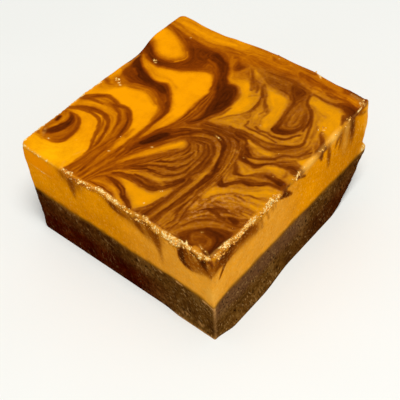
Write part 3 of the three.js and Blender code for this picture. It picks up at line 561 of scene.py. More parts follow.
def right_waves(top):
    """The stack of waves that runs off the right edge."""
    top.patch([1, 2, 3, 2.5, 6, 3.3, 9, 4, 13, 3.9, 14, 2.6, 13.4, 0.6, 14, -3.2, 13.4, -6, 11, -3, 9, -0.4,
        6, 1, 3, 0.6, 0.4, 0.4], 0.58, 0.3)
    top.threads([1.5, 1.8, 4, 2.3, 7, 3.1, 10, 3.7, 13, 3.4],
        [0.8, -0.4, 3.4, 0.6, 6.4, 1, 9, 0, 11.4, -2.4], [0.7, 0.56, 0.74, 0.5, 0.7, 0.58, 0.76, 0.66], 0.1,
        0.25)
    top.strokes([
        (0.9, 0.78, [8.2, 2.9, 10, 2.6, 11.4, 2.6]), (0.6, 0.5, [10.6, 1.4, 11.6, -0.6, 12.4, -2.6]),
        (0.5, 0.72, [11.6, 2, 12.4, 0, 13, -2]), (0.35, 0.46, [12.4, 1.8, 13, 0.4, 13.6, -1]),
    ], 0.2)
    top.patch([10.9, 3, 13, 2.5, 15, 2.5, 16.8, 2.6, 18.4, 3, 19.6, 3.9, 21, 4.6, 21.6, 5.6, 20.4, 4.8,
        19.3, 4.5, 17.7, 3.7, 18.5, 1.9, 17.4, 0.9, 16.4, 0.2, 15.4, -0.2, 14.2, 0.6, 12.6, 1.8], 0.3, 0.22)
    top.strokes([
        ([0.4, 0.7, 0.9], 0.08, [11.6, 2.7, 13.6, 2.1, 15.5, 1.6, 17.3, 1.9]),
        (0.4, 0.5, [17.8, 3.2, 18.7, 3.8, 19.6, 4.6]),
        (0.3, 0.56, [12.6, 1.2, 14, 0.6, 15.4, 0.2, 16.8, 0.9, 18, 1.6]),
    ], 0.2)
    # the dark tail by the edge, above the first wave
    top.patch([20.4, 0.8, 21.4, 1.4, 22.6, 2.2, 23.8, 2.8, 24.9, 2.5, 26.4, 1.8, 26.4, 0.2, 23.6, -0.6,
        22, 0.3], 0.66, 0.4)
    top.strokes([
        (0.7, 0.78, [22.4, 1.4, 23.4, 1.7, 24.6, 1.4]),
        ([1.1, 0.8, 0.5], 0.7, [12.6, 0.4, 14.2, -0.6, 15.2, -1, 16.2, -0.4, 17.4, 0.6, 19, 1.6]),
        (0.35, 0.8, [13.4, -0.8, 14.8, -1.2, 15.8, -0.8]),
        ([0.5, 1, 0.9, 0.5], 0.36, [14.4, -1.6, 15.6, -1.4, 17, -0.9, 18.2, 0, 19.3, 1]),
        (0.25, 0.58, [16, -1.9, 17.2, -1.4, 18.2, -0.4]),
    ], 0.2)
    # first wave, and the pool that hangs from it
    top.strokes([
        ([1.2, 1, 1.2, 0.8, 0.6, 0.6], [0.7, 0.78, 0.78, 0.74, 0.7, 0.76], [12.4, -0.6, 13.6, -1.8,
            15, -2.4, 16.6, -2.5, 17.6, -1.8, 18.4, -0.7, 19.4, 0.2, 20.8, 0.7, 22.4, 0.7]),
    ], 0.25)
    top.patch([13.4, -3, 15.4, -3.2, 17.2, -3.1, 17.9, -2.2, 18.7, -1, 19.5, -0.3, 20.8, 0.2, 22, 0.3,
        24, 0, 26.4, -0.4, 26.4, -2.2, 24.4, -1.9, 22, -1.9, 20.4, -1.8, 19.3, -2.4, 18.1, -3.7, 17.2, -5,
        16, -5.5, 14.9, -4.7, 14.1, -3.9], 0.1, 0.24)
    top.strokes([
        (0.8, 0.24, [14, -3.6, 15.4, -3.9, 16.6, -4.4]), (0.4, 0.3, [14.6, -3, 16, -3, 17.2, -3.2]),
        (0.5, 0.02, [19.2, -1.2, 20.6, -0.6, 22, -0.9]), (0.5, 0.24, [17.6, -4, 18.6, -2.8, 19.8, -1.9]),
        (0.7, 0.42, [22.9, 0.2, 23.2, -0.6, 23.1, -1.4]),
    ], 0.3)
    # second wave: dark, then red-brown, then dark at the edge
    top.strokes([
        ([0.6, 0.8, 1, 0.7], [0.66, 0.74, 0.8, 0.74], [13.3, -3.8, 14.1, -5, 15, -6.2, 16, -6.3,
            17.2, -5.7]), ([0.7, 1, 1.2], [0.7, 0.56, 0.6], [17.2, -5.6, 18, -4.6, 19, -3.6, 20.4, -3]),
        ([1, 1.5, 1.7], [0.74, 0.84, 0.88], [20.2, -2.9, 22, -2.9, 24, -3.2, 25.6, -3.6]),
        (0.4, 0.6, [18.2, -4, 19.4, -2.8, 20.8, -2.4]),
        ([0.5, 1.1, 1, 0.5], 0.42, [14.9, -7, 16.6, -6.5, 18, -5.5, 19.6, -4.9, 21, -4.2]),
        (0.25, 0.62, [16.4, -6.9, 17.8, -6, 19.4, -5.4]),
    ], 0.22)
    top.patch([13.5, -6, 14.6, -7.3, 15.9, -7.3, 15.6, -8.4, 15, -9.4, 14.3, -9.4, 13.7, -8.2], 0.26, 0.28)
    top.strokes([(0.3, 0.5, [13.8, -6, 14.2, -7.4, 14.6, -8.8]), (0.4, 0.16, [15, -8, 15.3, -7.4])], 0.2)
    # third wave
    top.strokes([
        ([0.5, 0.7, 1.3, 1, 0.9, 1.3, 1.2, 0.8, 0.7, 0.8], [0.68, 0.74, 0.82, 0.78, 0.74, 0.8, 0.74, 0.78,
            0.72, 0.8], [13.3, -6.8, 13.6, -8.8, 14.6, -10.2, 15.6, -9.5, 16.4, -8.2, 17.6, -7.2, 19, -6.7,
            20.4, -5.9, 21.4, -4.9, 22.6, -4.4, 25.4, -4.4]), (0.3, 0.62, [17, -6.8, 18.6, -6.2, 20, -5.4]),
        (0.35, 0.88, [17.6, -7.3, 19, -7]),
    ], 0.22)
    # the plain wedge below the waves
    top.patch([13, -14.6, 13.3, -12.6, 13.9, -11.5, 15.2, -11, 16.2, -10.2, 16.7, -9, 18, -8.1, 20, -7.4,
        21.2, -6.2, 22.2, -5.3, 24, -5, 26.4, -4.9, 26.4, -13, 24, -12.8, 21.6, -11.4, 19.5, -10.2,
        18, -10.5, 16.6, -11.8, 15.4, -13.2, 14.6, -14.7, 13.5, -15.9], 0.09, 0.25)
    top.strokes([
        (0.9, 0.26, [16.6, -9.6, 18, -8.8, 19.6, -8.2, 21.2, -7]),
        (0.7, 0.02, [13.8, -13.6, 14.8, -12.4, 16.4, -10.9]), (0.7, 0.02, [22.4, -6.8, 23.8, -6.2, 25, -6]),
        (0.8, 0.18, [20.6, -6.9, 21.8, -6.4]), (0.25, 0.4, [17, -9, 18.6, -8.4, 20, -7.8]),
    ], 0.3)
    top.patch([15.4, -13.4, 16.8, -11.8, 18.4, -10.4, 20.2, -10, 22, -9, 24, -8.2, 25, -9, 24, -11.4,
        22.6, -12.6, 20, -13.6, 17, -16.6], 0.18, 0.4)
    top.threads([14.9, -14.6, 16.4, -12.2, 18, -10.6, 19.8, -10.2, 21.6, -9.2, 25.2, -7.9], [16.2, -17.4,
        17.4, -15, 18.8, -13.7, 20.8, -13.3, 22.6, -12.8, 25.4, -12],
        [0.46, 0.16, 0.36, 0.18, 0.42, 0.2, 0.4, 0.16, 0.34, 0.5, 0.24, 0.5], 0.18, 0.14, 0.85)
    top.strokes([
        ([0.35, 0.4, 0.3], [0.5, 0.58, 0.46], [15, -13.8, 16.2, -12.4, 17.4, -11, 18.4, -10.3, 19.8, -9.9]),
        ([0.4, 0.5, 0.4, 0.3], [0.5, 0.66, 0.46, 0.4], [19.8, -9.9, 21, -9.1, 22.2, -8.8, 23.2, -8.2,
            24.6, -7.6]), (0.7, 0.12, [21.8, -9.8, 23.4, -9.6, 24.8, -9.2]),
        (0.8, 0.1, [22.6, -11.2, 24, -11.4, 25, -11]), (0.6, 0.56, [18.6, -10.8, 19.8, -10.7, 20.8, -10.9]),
        (0.4, 0.4, [20.8, -12.8, 22, -12.5, 23, -12.2]),
        (0.7, 0.28, [18.9, -13.2, 19.8, -12.8, 20.6, -12.3]),
    ], 0.22)


def near_right(top):
    """The streaked corner: threads fan up from the front to the right edge, round a dark eye."""
    top.patch([12.6, -15.6, 14.6, -15.4, 16.6, -14.6, 19, -13.6, 26, -12.9, 27, -28, 12.2, -28], 0.54, 0.35)
    top.threads([14.4, -17, 15.4, -15, 17, -13.7, 19.4, -13.3, 22, -13, 26, -12], [15.4, -24.4, 16.8, -21.6,
        18.8, -19.6, 21.4, -18.2, 24, -17.6, 26, -17.4], [0.36, 0.56, 0.4, 0.62, 0.44, 0.72, 0.5, 0.76,
        0.46, 0.66, 0.5, 0.7, 0.56, 0.44, 0.42], 0.14, 0.16)
    top.strokes([
        (1.1, 0.22, [13.2, -16.2, 13.9, -17.4, 13.6, -19, 13.2, -20.2]),
        (0.8, 0.26, [14.8, -16.2, 15.3, -15.2, 16.2, -14.4]),
        (0.35, 0.62, [15.5, -14, 15.1, -16, 14.8, -18, 13.9, -19.6, 13.4, -21.6]),
        (0.3, 0.6, [16.4, -14.2, 16, -16.6, 15.4, -18.6, 14.8, -20.4, 14, -22]),
        (0.5, 0.3, [15.2, -20.4, 16.2, -18.6, 17.2, -17.4]),
        (0.4, 0.36, [14.6, -22.6, 16, -20.2, 18, -18.2, 20, -16.8]),
        (0.5, 0.34, [19.2, -16.4, 20.8, -15.4, 22.4, -14.9, 24, -14]),
        (0.7, 0.36, [17.8, -14.2, 19.2, -13.6, 20.4, -13.6]),
        (0.6, 0.28, [22.6, -13.6, 23.6, -13.4, 24.8, -13.6]),
        (1.1, 0.72, [17.6, -15.6, 18.6, -15, 19.4, -15]),
        (0.8, 0.76, [16.8, -16.6, 18, -16.4, 19.6, -17, 20.6, -16.8]),
        ([0.8, 1.4, 0.6], [0.8, 0.8, 0.6], [21.2, -15.9, 22.4, -15.9, 23.8, -16.3]),
        (0.5, 0.66, [19, -18, 20.8, -17.2, 23, -17]), (0.9, 0.6, [17.8, -19.2, 18.8, -18.2, 20.4, -17.8]),
    ], 0.26)
    top.strokes([
        ([0.8, 1.2, 1.5, 1.3], [0.4, 0.38, 0.42, 0.44], [14.6, -25.4, 16, -22.8, 18, -20.3, 20.4, -18.6,
            22.4, -18, 25.4, -17.6]),
    ], 0.45)
    top.patch([17.4, -22.6, 19, -20.6, 20.8, -19.4, 22.8, -18.9, 26.4, -18.8, 26.4, -26.8, 17.4, -26.8,
        15.9, -25.6], 0.74, 0.5)
    top.strokes([
        (1.6, 0.84, [20, -20.8, 21.8, -20.9, 23.8, -21]),
        (0.9, 0.74, [16.6, -24.8, 17.6, -23, 18.8, -22, 19.6, -21.5]),
        (0.9, 0.8, [17, -25, 18.2, -24.6, 19, -25]),
    ], 0.35)
    top.patch([18.2, -22.8, 19.4, -22, 21, -21.9, 22.3, -22.5, 22.7, -23.6, 22, -24.7, 20.2, -25,
        18.6, -24.6], 0.58, 0.45)
    top.strokes([
        (0.8, 0.52, [18.7, -23.4, 19.4, -22.8]), (0.6, 0.5, [21.6, -22.4, 22.1, -23.2, 21.8, -24.2]),
        (0.9, 0.66, [20.5, -23.3, 21, -23]), (1.1, 0.92, [23.4, -21.8, 23.5, -23.4, 23.4, -25]),
        (0.7, 0.16, [20.4, -25.3, 21.2, -25.2, 22.2, -25.7]),
    ], 0.3)


def middle_loops(top):
    """The long hairpin of loops in the near half."""
    top.patch([-2.6, -3, -0.5, -0.6, 2, 0.3, 6, 0.4, 8.6, -1, 10.2, -3.4, 12, -6, 13.4, -8, 13.6, -12,
        13.6, -16, 13, -28, 8, -28, 5.4, -25, 7.6, -20, 6.4, -18, -6, -22.5, -8.2, -16, -6.4, -9.8,
        -4.4, -5], 0.56, 0.3)
    # the sheaf of near-parallel threads that comes down the right of the hairpin
    top.threads([9, 1.4, 10.8, 0.4, 12, -1.6, 12.8, -4, 13.6, -7, 13.6, -10, 13.2, -13, 13.4, -18,
        14.2, -23, 14, -27], [7.6, 0.2, 9.2, -1.8, 10.4, -4, 11.2, -6.2, 11.6, -9, 11.4, -12, 11, -17,
        10.8, -22, 10.6, -27], [0.74, 0.44, 0.68, 0.42, 0.7, 0.4, 0.66, 0.5, 0.7, 0.52, 0.74], 0.12, 0.14)
    top.strokes([
        (0.3, 0.36, [10.8, -1, 11.8, -3, 12.3, -5.6, 12.6, -8]),
        (0.3, 0.38, [11.6, -0.2, 12.6, -2.8, 13, -5.4, 13.3, -8]),
        (0.6, 0.48, [11.1, -2.6, 11.5, -4.2, 11.9, -5.4]),
        (0.4, 0.4, [11.8, -14, 12, -16.6, 11.6, -19.4, 11.3, -21.4]),
        (0.35, 0.66, [12.2, -13, 12.4, -16, 12.2, -19, 12.5, -21]),
        (0.3, 0.72, [13, -13.6, 13.2, -16, 12.8, -18.6]), (0.45, 0.36, [13.3, -10.6, 13.2, -13, 13.1, -15]),
        (0.4, 0.4, [12.9, -17, 12.8, -19]), (0.4, 0.4, [14.6, -17, 14.2, -19.6]),
    ], 0.15)
    top.patch([10.9, -21.6, 12, -21.4, 12.5, -23, 12.2, -24.8, 11.2, -25.2, 10.8, -23.4], 0.34, 0.3)
    top.strokes([
        (0.35, 0.4, [14, -22.4, 13.6, -23.8, 12.9, -25]), (0.3, 0.66, [12.9, -21, 13.2, -22.6, 12.8, -24]),
        (0.3, 0.36, [12.6, -22, 12.9, -23]),
    ], 0.14)
    # the hairpin: dark outside, a light band, then brown
    top.strokes([
        ([1, 1.4, 1.3, 1.2, 0.9, 1.1, 1.2, 1.2, 1.3, 1.2, 0.9, 0.8, 0.7, 0.7], [0.76, 0.74, 0.76, 0.8, 0.84,
            0.84, 0.86, 0.84, 0.8, 0.76, 0.72, 0.74, 0.7, 0.66], [-1.5, -2.8, 0.4, -1.9, 2.2, -0.9, 4, -0.4,
            6.2, -0.3, 7.8, -1.1, 9, -2.4, 9.8, -4, 10.6, -5.7, 11.3, -7.6, 11.4, -9.6, 11.2, -12,
            10.9, -15, 10.4, -18, 10.4, -20.4, 10.1, -23, 9.9, -26.5]),
        (0.3, 0.58, [-0.6, -2.2, 1.4, -1.2, 3.4, -0.5]), (0.3, 0.62, [9.6, -2.4, 10.6, -4.4, 11.4, -6.8]),
    ], 0.2)
    top.strokes([
        ([0.4, 0.6, 0.9, 1.1, 0.9, 0.8, 0.9, 0.9, 0.9, 0.7, 0.6], [0.5, 0.44, 0.4, 0.36, 0.34, 0.36, 0.33,
            0.34, 0.34, 0.36, 0.4], [-1.4, -5, 0.3, -3.8, 2, -2.6, 3.8, -1.6, 5.6, -1.3, 7, -1.8, 8.2, -3,
            9, -4.4, 9.5, -5.9, 9.9, -7.6, 10.1, -9.4, 10.2, -12, 10.1, -15, 9.8, -18, 9.6, -20.4, 9.2, -23,
            8.9, -26]),
    ], 0.2)
    top.strokes([
        ([0.5, 0.7, 0.8, 0.7, 0.8, 0.7, 0.8, 0.8], [0.6, 0.7, 0.72, 0.68, 0.7, 0.66, 0.68, 0.7], [0.2, -4.6,
            1.8, -3.5, 3.8, -2.5, 5.6, -2.3, 7.1, -3, 8.1, -4.6, 8.7, -6.5, 9.1, -9, 9, -12, 8.9, -15,
            8.7, -18, 8.4, -20.6, 8, -23, 7.8, -26]),
        (0.3, 0.54, [9.5, -6.6, 9.6, -10, 9.5, -15, 9.2, -20]),
    ], 0.16)
    # inside it: nested threads round a pale finger
    top.threads([1.4, -4.2, 3.4, -3.4, 5.6, -3, 7.2, -4, 8.1, -6, 8.4, -9, 8.2, -12.4, 7.8, -14.6],
        [1.9, -5.2, 2.6, -6, 2.5, -7.4, 1.4, -9.2, -0.4, -11.8, -2.4, -15, -5.6, -18.6], [0.6, 0.7, 0.52,
        0.68, 0.46, 0.7, 0.44, 0.66, 0.42, 0.72, 0.4, 0.66, 0.44, 0.7, 0.5, 0.64, 0.46, 0.66], 0.1, 0.12)
    top.strokes([
        (0.45, 0.4, [3.5, -4.6, 4.2, -5.6, 4.4, -6.8, 4, -8, 3.3, -9.4, 2.3, -10.6, 1, -11.8]),
        (0.45, 0.72, [4.7, -6.6, 4.9, -7.8, 4.4, -9.2, 3.6, -10.4, 2.4, -11.6, 0.6, -12.9]),
        ([0.4, 0.7, 0.7, 0.5], 0.38, [5.1, -6, 5.7, -7.2, 5.6, -8.8, 5, -10.2, 4, -11.3, 2.8, -12.2,
            1, -13.2, -0.4, -14.2]),
        ([0.3, 0.45, 0.5, 0.4], 0.72, [6, -8, 5.9, -9.8, 5.3, -11.5, 4.4, -12.5, 3, -13.2, 1.4, -13.8,
            -0.2, -15, -2, -16.6, -3.6, -18.2]), (0.9, 0.74, [3.7, -12.9, 4.6, -12.5]),
        ([0.3, 0.5, 0.6, 0.9, 0.6], 0.4, [6.5, -8.6, 6.4, -10.6, 5.9, -12.3, 4.8, -13.4, 3, -14.2,
            1.4, -14.7, 0.2, -15.1]),
        ([0.3, 0.45, 0.45, 0.4], 0.74, [6.9, -10.4, 6.7, -12, 5.8, -13.5, 4.6, -14.6, 3.4, -15.3,
            1.4, -15.5, -0.4, -16, -2.2, -17.6]),
        (0.4, 0.42, [7.4, -8, 7.4, -10.6, 7.3, -12.6, 6.8, -13.8]),
        (0.35, 0.7, [7.9, -8, 7.9, -11, 7.8, -13.4]), (0.25, 0.36, [4.6, -4.2, 5.2, -5.4]),
        (0.2, 0.4, [5.4, -3.4, 6, -4.2]), (0.25, 0.4, [2.1, -8.2, 2.7, -8.6]),
        (0.5, 0.68, [1.6, -4.8, 2.6, -5.4, 2.8, -7, 2, -8.8]),
    ], 0.12)
    top.patch([0.2, -6.1, 0.8, -5.5, 1.5, -5.2, 2.1, -5.9, 2, -7, 1.1, -8.2, -0.4, -10.2, -1.5, -11.7,
        -2.5, -13.2, -4.2, -15.5, -5.4, -17.4, -6.4, -19.6, -7.3, -21.6, -6.9, -19.4, -5.6, -16.6,
        -4.9, -14.9, -3.8, -12.6, -2.7, -10.8, -1.5, -8.8, -0.6, -7.2], 0.12, 0.25)
    top.strokes([
        (0.5, 0.02, [1.1, -6, 0.2, -7.7, -1.2, -9.6]),
        ([0.5, 0.3], 0.34, [-5, -17, -6.1, -19.2, -7.2, -21.8]),
        (0.25, 0.3, [0, -9.5, -2, -12.5, -3.9, -15.2]),
    ], 0.25)
    # the dark streak left of the finger
    top.patch([1.4, -1.8, -0.6, -2.4, -2, -3.6, -3.6, -5, -4.8, -6, -5.4, -7.5, -6, -9.5, -6.4, -11,
        -6.7, -12.5, -7, -16.2, -6.2, -15.2, -5.5, -13, -4.4, -11, -3.3, -9.4, -2.4, -8, -1.4, -6.6,
        -0.4, -5.6, 0.4, -4.6, 1.1, -3.6], 0.74, 0.3)
    top.strokes([
        ([1.1, 1.6, 1.1], 0.95, [-3.2, -6.2, -4, -7.8, -4.8, -9.4, -5.4, -10.8]),
        (0.35, 0.44, [0.9, -3.6, -0.2, -4.7, -0.9, -5.9, -1.8, -7.4]),
        (0.5, 0.42, [1.6, -0.6, -0.6, -1.6, -2.2, -2.6, -3.2, -4]),
        (0.6, 0.4, [-4.9, -12.4, -5.5, -14, -6, -15.6]), (0.3, 0.6, [0.2, -2.8, -1.2, -4, -2.4, -5.4]),
        (0.2, 0.66, [-0.8, -2.6, -2.4, -4]), (0.3, 0.6, [-2.4, -8, -3.6, -9.9, -4.7, -12, -5.3, -13.8]),
    ], 0.2)


def near_middle(top):
    """The flat swirls under the hairpin and the plain triangle at the front."""
    top.strokes([
        ([0.5, 0.9, 1.2, 1.1, 1, 0.9, 0.7], [0.36, 0.26, 0.22, 0.26, 0.34, 0.4], [-6, -21.2, -4, -19.6,
            -2.2, -18.5, 0, -17.2, 1.8, -16.8, 3.6, -16.6, 5, -15.6, 6.3, -14.3, 7.2, -12.6]),
        (0.25, 0.44, [-1.6, -18, 0.4, -16.6, 2.4, -16.4, 4.4, -15.8]),
        ([0.5, 1.1, 1.4, 1], [0.62, 0.74, 0.78, 0.8], [1, -19.3, 3.6, -19.2, 5.2, -18.4, 6.3, -16.9,
            7.2, -15.4, 7.9, -13.8]), (0.4, 0.72, [-0.6, -18.1, 1.4, -18, 3.2, -18, 4.8, -17.3, 6, -16.2]),
        (0.3, 0.48, [-1.4, -18.7, 0.6, -18.5, 2.6, -18.5, 4, -18.1]),
        (0.3, 0.54, [4.2, -18, 5.6, -17.2, 6.8, -15.6]),
        ([0.4, 0.8, 1.3, 1.3, 1.1], [0.64, 0.66, 0.7, 0.74, 0.84], [-6.6, -22.6, -4.8, -20.9, -3, -19.8,
            -1, -19.4, 1.4, -19.4, 3.6, -19.4, 5.2, -18.9]),
        (0.25, 0.52, [-3.4, -20.3, -1.2, -19.8, 1, -19.8, 2.4, -19.6]),
    ], 0.16)
    top.patch([-4.5, -21.2, -3.5, -20.9, -1, -20.3, 2.5, -20.2, 4.5, -20.1, 5.4, -19.6, 6, -18.7,
        6.8, -17.8, 7.6, -16.8, 8, -17.4, 8, -19, 7.8, -20.6, 7.4, -22, 6.6, -23.2, 5.8, -24.2, 5.1, -25.2,
        4.5, -25, 3.8, -24.3, 2, -23.1, 1, -22.8, 0, -22.1, -1.5, -21.5, -3, -21.2], 0.12, 0.22)
    top.patch([-0.4, -20.9, 2.4, -20.7, 5, -20.6, 6.6, -19.2, 7.4, -18.4, 7.2, -21, 6, -23, 4.9, -24.4,
        3, -23, 1, -22], 0, 0.4)
    top.patch([-6.6, -22.6, -4.2, -22, -2, -22.2, 0.4, -23.4, 3.2, -25, 5, -26.8, -8, -27.5], 0.34, 0.3)
    top.strokes([
        ([0.5, 1.1, 1.2, 1, 0.8], [0.66, 0.74, 0.82, 0.8, 0.7], [-4.8, -22, -3, -22, -1.4, -22.4,
            0.2, -22.9, 1.4, -23.9, 2.8, -24.5, 4.3, -25.4]), (0.4, 0.5, [-4.2, -22.6, -3, -22.7]),
        (0.35, 0.52, [-1.2, -22.2, 0.2, -22.9, 1.2, -23.6]),
        ([0.5, 0.8, 0.7], [0.3, 0.14, 0.16], [-6.4, -24.4, -4, -23.7, -2, -23.6, 0, -24.3, 2.2, -25.6]),
        (0.3, 0.4, [-5, -24.2, -2.6, -24.2, -0.6, -24.8]),
        (0.35, [0.66, 0.76, 0.6], [-6.6, -25, -5, -24.9, -3.5, -24.6, -1, -24.9, 0.6, -25.7]),
        (1.2, 0.58, [8, -20, 7.4, -22.6, 6.6, -24.6, 6, -26]), (0.35, 0.72, [8.4, -20, 8, -22.6, 7.8, -25]),
        (0.25, 0.42, [7.4, -22.6, 6.9, -24, 6.6, -25.4]),
    ], 0.16)


def draw_top():
    """The marbling as it lies on the top."""
    top = Marbling((-27.5, -28.5), (27.5, 30.5), 0.5)
    far_right(top)
    far_strip(top)
    left_pools(top)
    left_loops(top)
    right_waves(top)
    brown_drop(top)
    near_right(top)
    middle_loops(top)
    near_middle(top)
    fan(top)
    dark_blob(top)
    top.line([-13.6, -26.2, -9, -26.1, -3, -25.9, 3, -26.2, 9, -26, 15, -26.2, 20, -26, 24, -26.1],
        [0.5, 0.8, 1, 0.6, 0.9, 1, 1.1, 0.9], 0.22, 0.25)
    top.line([24.9, -25.4, 25, -21, 25.2, -17, 25, -13, 25.2, -8, 25.4, -5], [0.9, 0.9, 0.9, 1.4, 1.5, 1],
        0.16, 0.35)
    top.lines([
        (1.2, [18, -18.2, 20.6, -17.6, 24, -17.4]), (0.9, [2.6, -20, 4, -20, 5, -19.6]),
        (0.8, [8.2, 25, 9, 23.4, 9.4, 22]), (1, [0.4, 26, 2, 25.6, 4, 26.2]),
        (0.8, [13.6, 1.4, 14.8, 2, 16, 2.6]),
    ], 0.62, 0.5, 0.4)
    top.lines([
        (1, [9.2, -12, 10, -10.4, 10.8, -9]), (0.8, [1.2, -17.2, 3.4, -16.8, 5.6, -17]),
        (0.8, [24.8, -3.8, 25, -2.4, 24.9, -1]), (1, [24.8, 3, 25, 5, 24.8, 7]),
        (0.9, [24.7, 11, 24.8, 13.4, 24.7, 16]),
    ], 0.1, 0.4, 0.4)
    halo = mix(top.cocoa, blur(top.cocoa, 8), 0.25)
    top.cocoa = np.clip(mix(halo, blur(halo, 3), -0.3), 0, 1)
    return top


def draw_front():
    """The front cut: x along it, z up it. The top's swirls hang down into it."""
    cut = Marbling((-27, 8), (27, 28.5), 0.03)
    cut.patch([-28, 12, -28, 17, -18, 16, -10, 17.4, 0, 18, 8, 16.4, 14, 14, 14, 10, -28, 8], 0.1, 1.6)
    cut.line([-27, 12.8, -20, 12.6, -12, 12.8], 1.2, 0.2, 0.8)
    cut.line([-25, 21.4, -20, 20.6, -16, 21], 1.2, 0.12, 0.7)
    cut.patch([-15.6, 26, -15, 23, -13.6, 21.4, -11.4, 20.4, -9.4, 21.6, -8, 23.6, -7.4, 26], 0.3, 0.9)
    cut.line([-12, 25, -11.6, 22.8, -11.4, 20.8, -11.2, 18.2], [1.7, 1.8, 1.4, 0.6], [0.54, 0.6, 0.5, 0.26],
        0.7)
    cut.line([-14.6, 24.8, -13.8, 23], 0.9, 0.4, 0.5)
    cut.patch([-2, 25.8, -1.2, 23.2, 1, 21.9, 4, 21.4, 7, 20.4, 9.6, 19.8, 12.4, 19.6, 13, 22.4,
        12.6, 25.8], 0.34, 0.7)
    cut.line([-1, 25.2, 0, 23.8, 1.6, 22.9, 4, 22.6], [1.6, 1.9, 1.2, 0.5], [0.72, 0.66, 0.54, 0.44], 0.5)
    cut.line([5.2, 25.2, 6, 23.4, 7, 21.8, 7.8, 20.9], [1, 1.3, 1.5, 0.6], [0.5, 0.54, 0.6, 0.5], 0.5)
    cut.line([8.6, 24.8, 9.4, 22.8, 10, 21.4], [0.6, 0.9, 0.5], 0.5, 0.5)
    cut.line([10.6, 25, 11.1, 22.4, 11.6, 19.6, 12, 17, 12.2, 14.8], [2, 2, 1.5, 1.1, 0.6],
        [0.66, 0.62, 0.52, 0.34, 0.16], 0.7)
    cut.patch([17, 25.8, 16.9, 22.6, 17.2, 20.2, 18.4, 18.9, 20.2, 18.6, 22, 19, 23.4, 19.8, 24.4, 19.6,
        26.6, 19.8, 26.4, 25.8], 0.44, 0.45)
    cut.line([17.6, 25, 17.5, 22.6, 17.7, 20.6, 18.5, 19.4, 19.8, 18.9], [1.1, 1.5, 1.7, 1.3, 0.8],
        [0.8, 0.84, 0.9, 0.82, 0.6], 0.35)
    cut.line([18.8, 24.6, 18.9, 22.6, 19.4, 21], [0.9, 1.1, 0.6], [0.62, 0.6, 0.54], 0.35)
    cut.line([19.5, 23.4, 19.5, 22.2, 20, 21.2], [0.5, 0.6, 0.4], [0.3, 0.36, 0.4], 0.25)
    cut.line([20.2, 20, 21.4, 19.6, 22.6, 19.5], [0.8, 0.9, 0.5], [0.36, 0.32, 0.3], 0.4)
    cut.line([20.5, 25, 20.8, 23.6, 21, 22.2], [1, 0.8, 0.5], [0.16, 0.2, 0.34], 0.3)
    cut.line([22.1, 25, 22.5, 23.6, 23.2, 22.3, 23.8, 21.2], [1.6, 2.1, 1.6, 0.8], [0.86, 0.94, 0.84, 0.6],
        0.4)
    cut.line([21.4, 24.4, 21.8, 22.8, 22.4, 21.6], 0.3, 0.66, 0.25)
    return cut


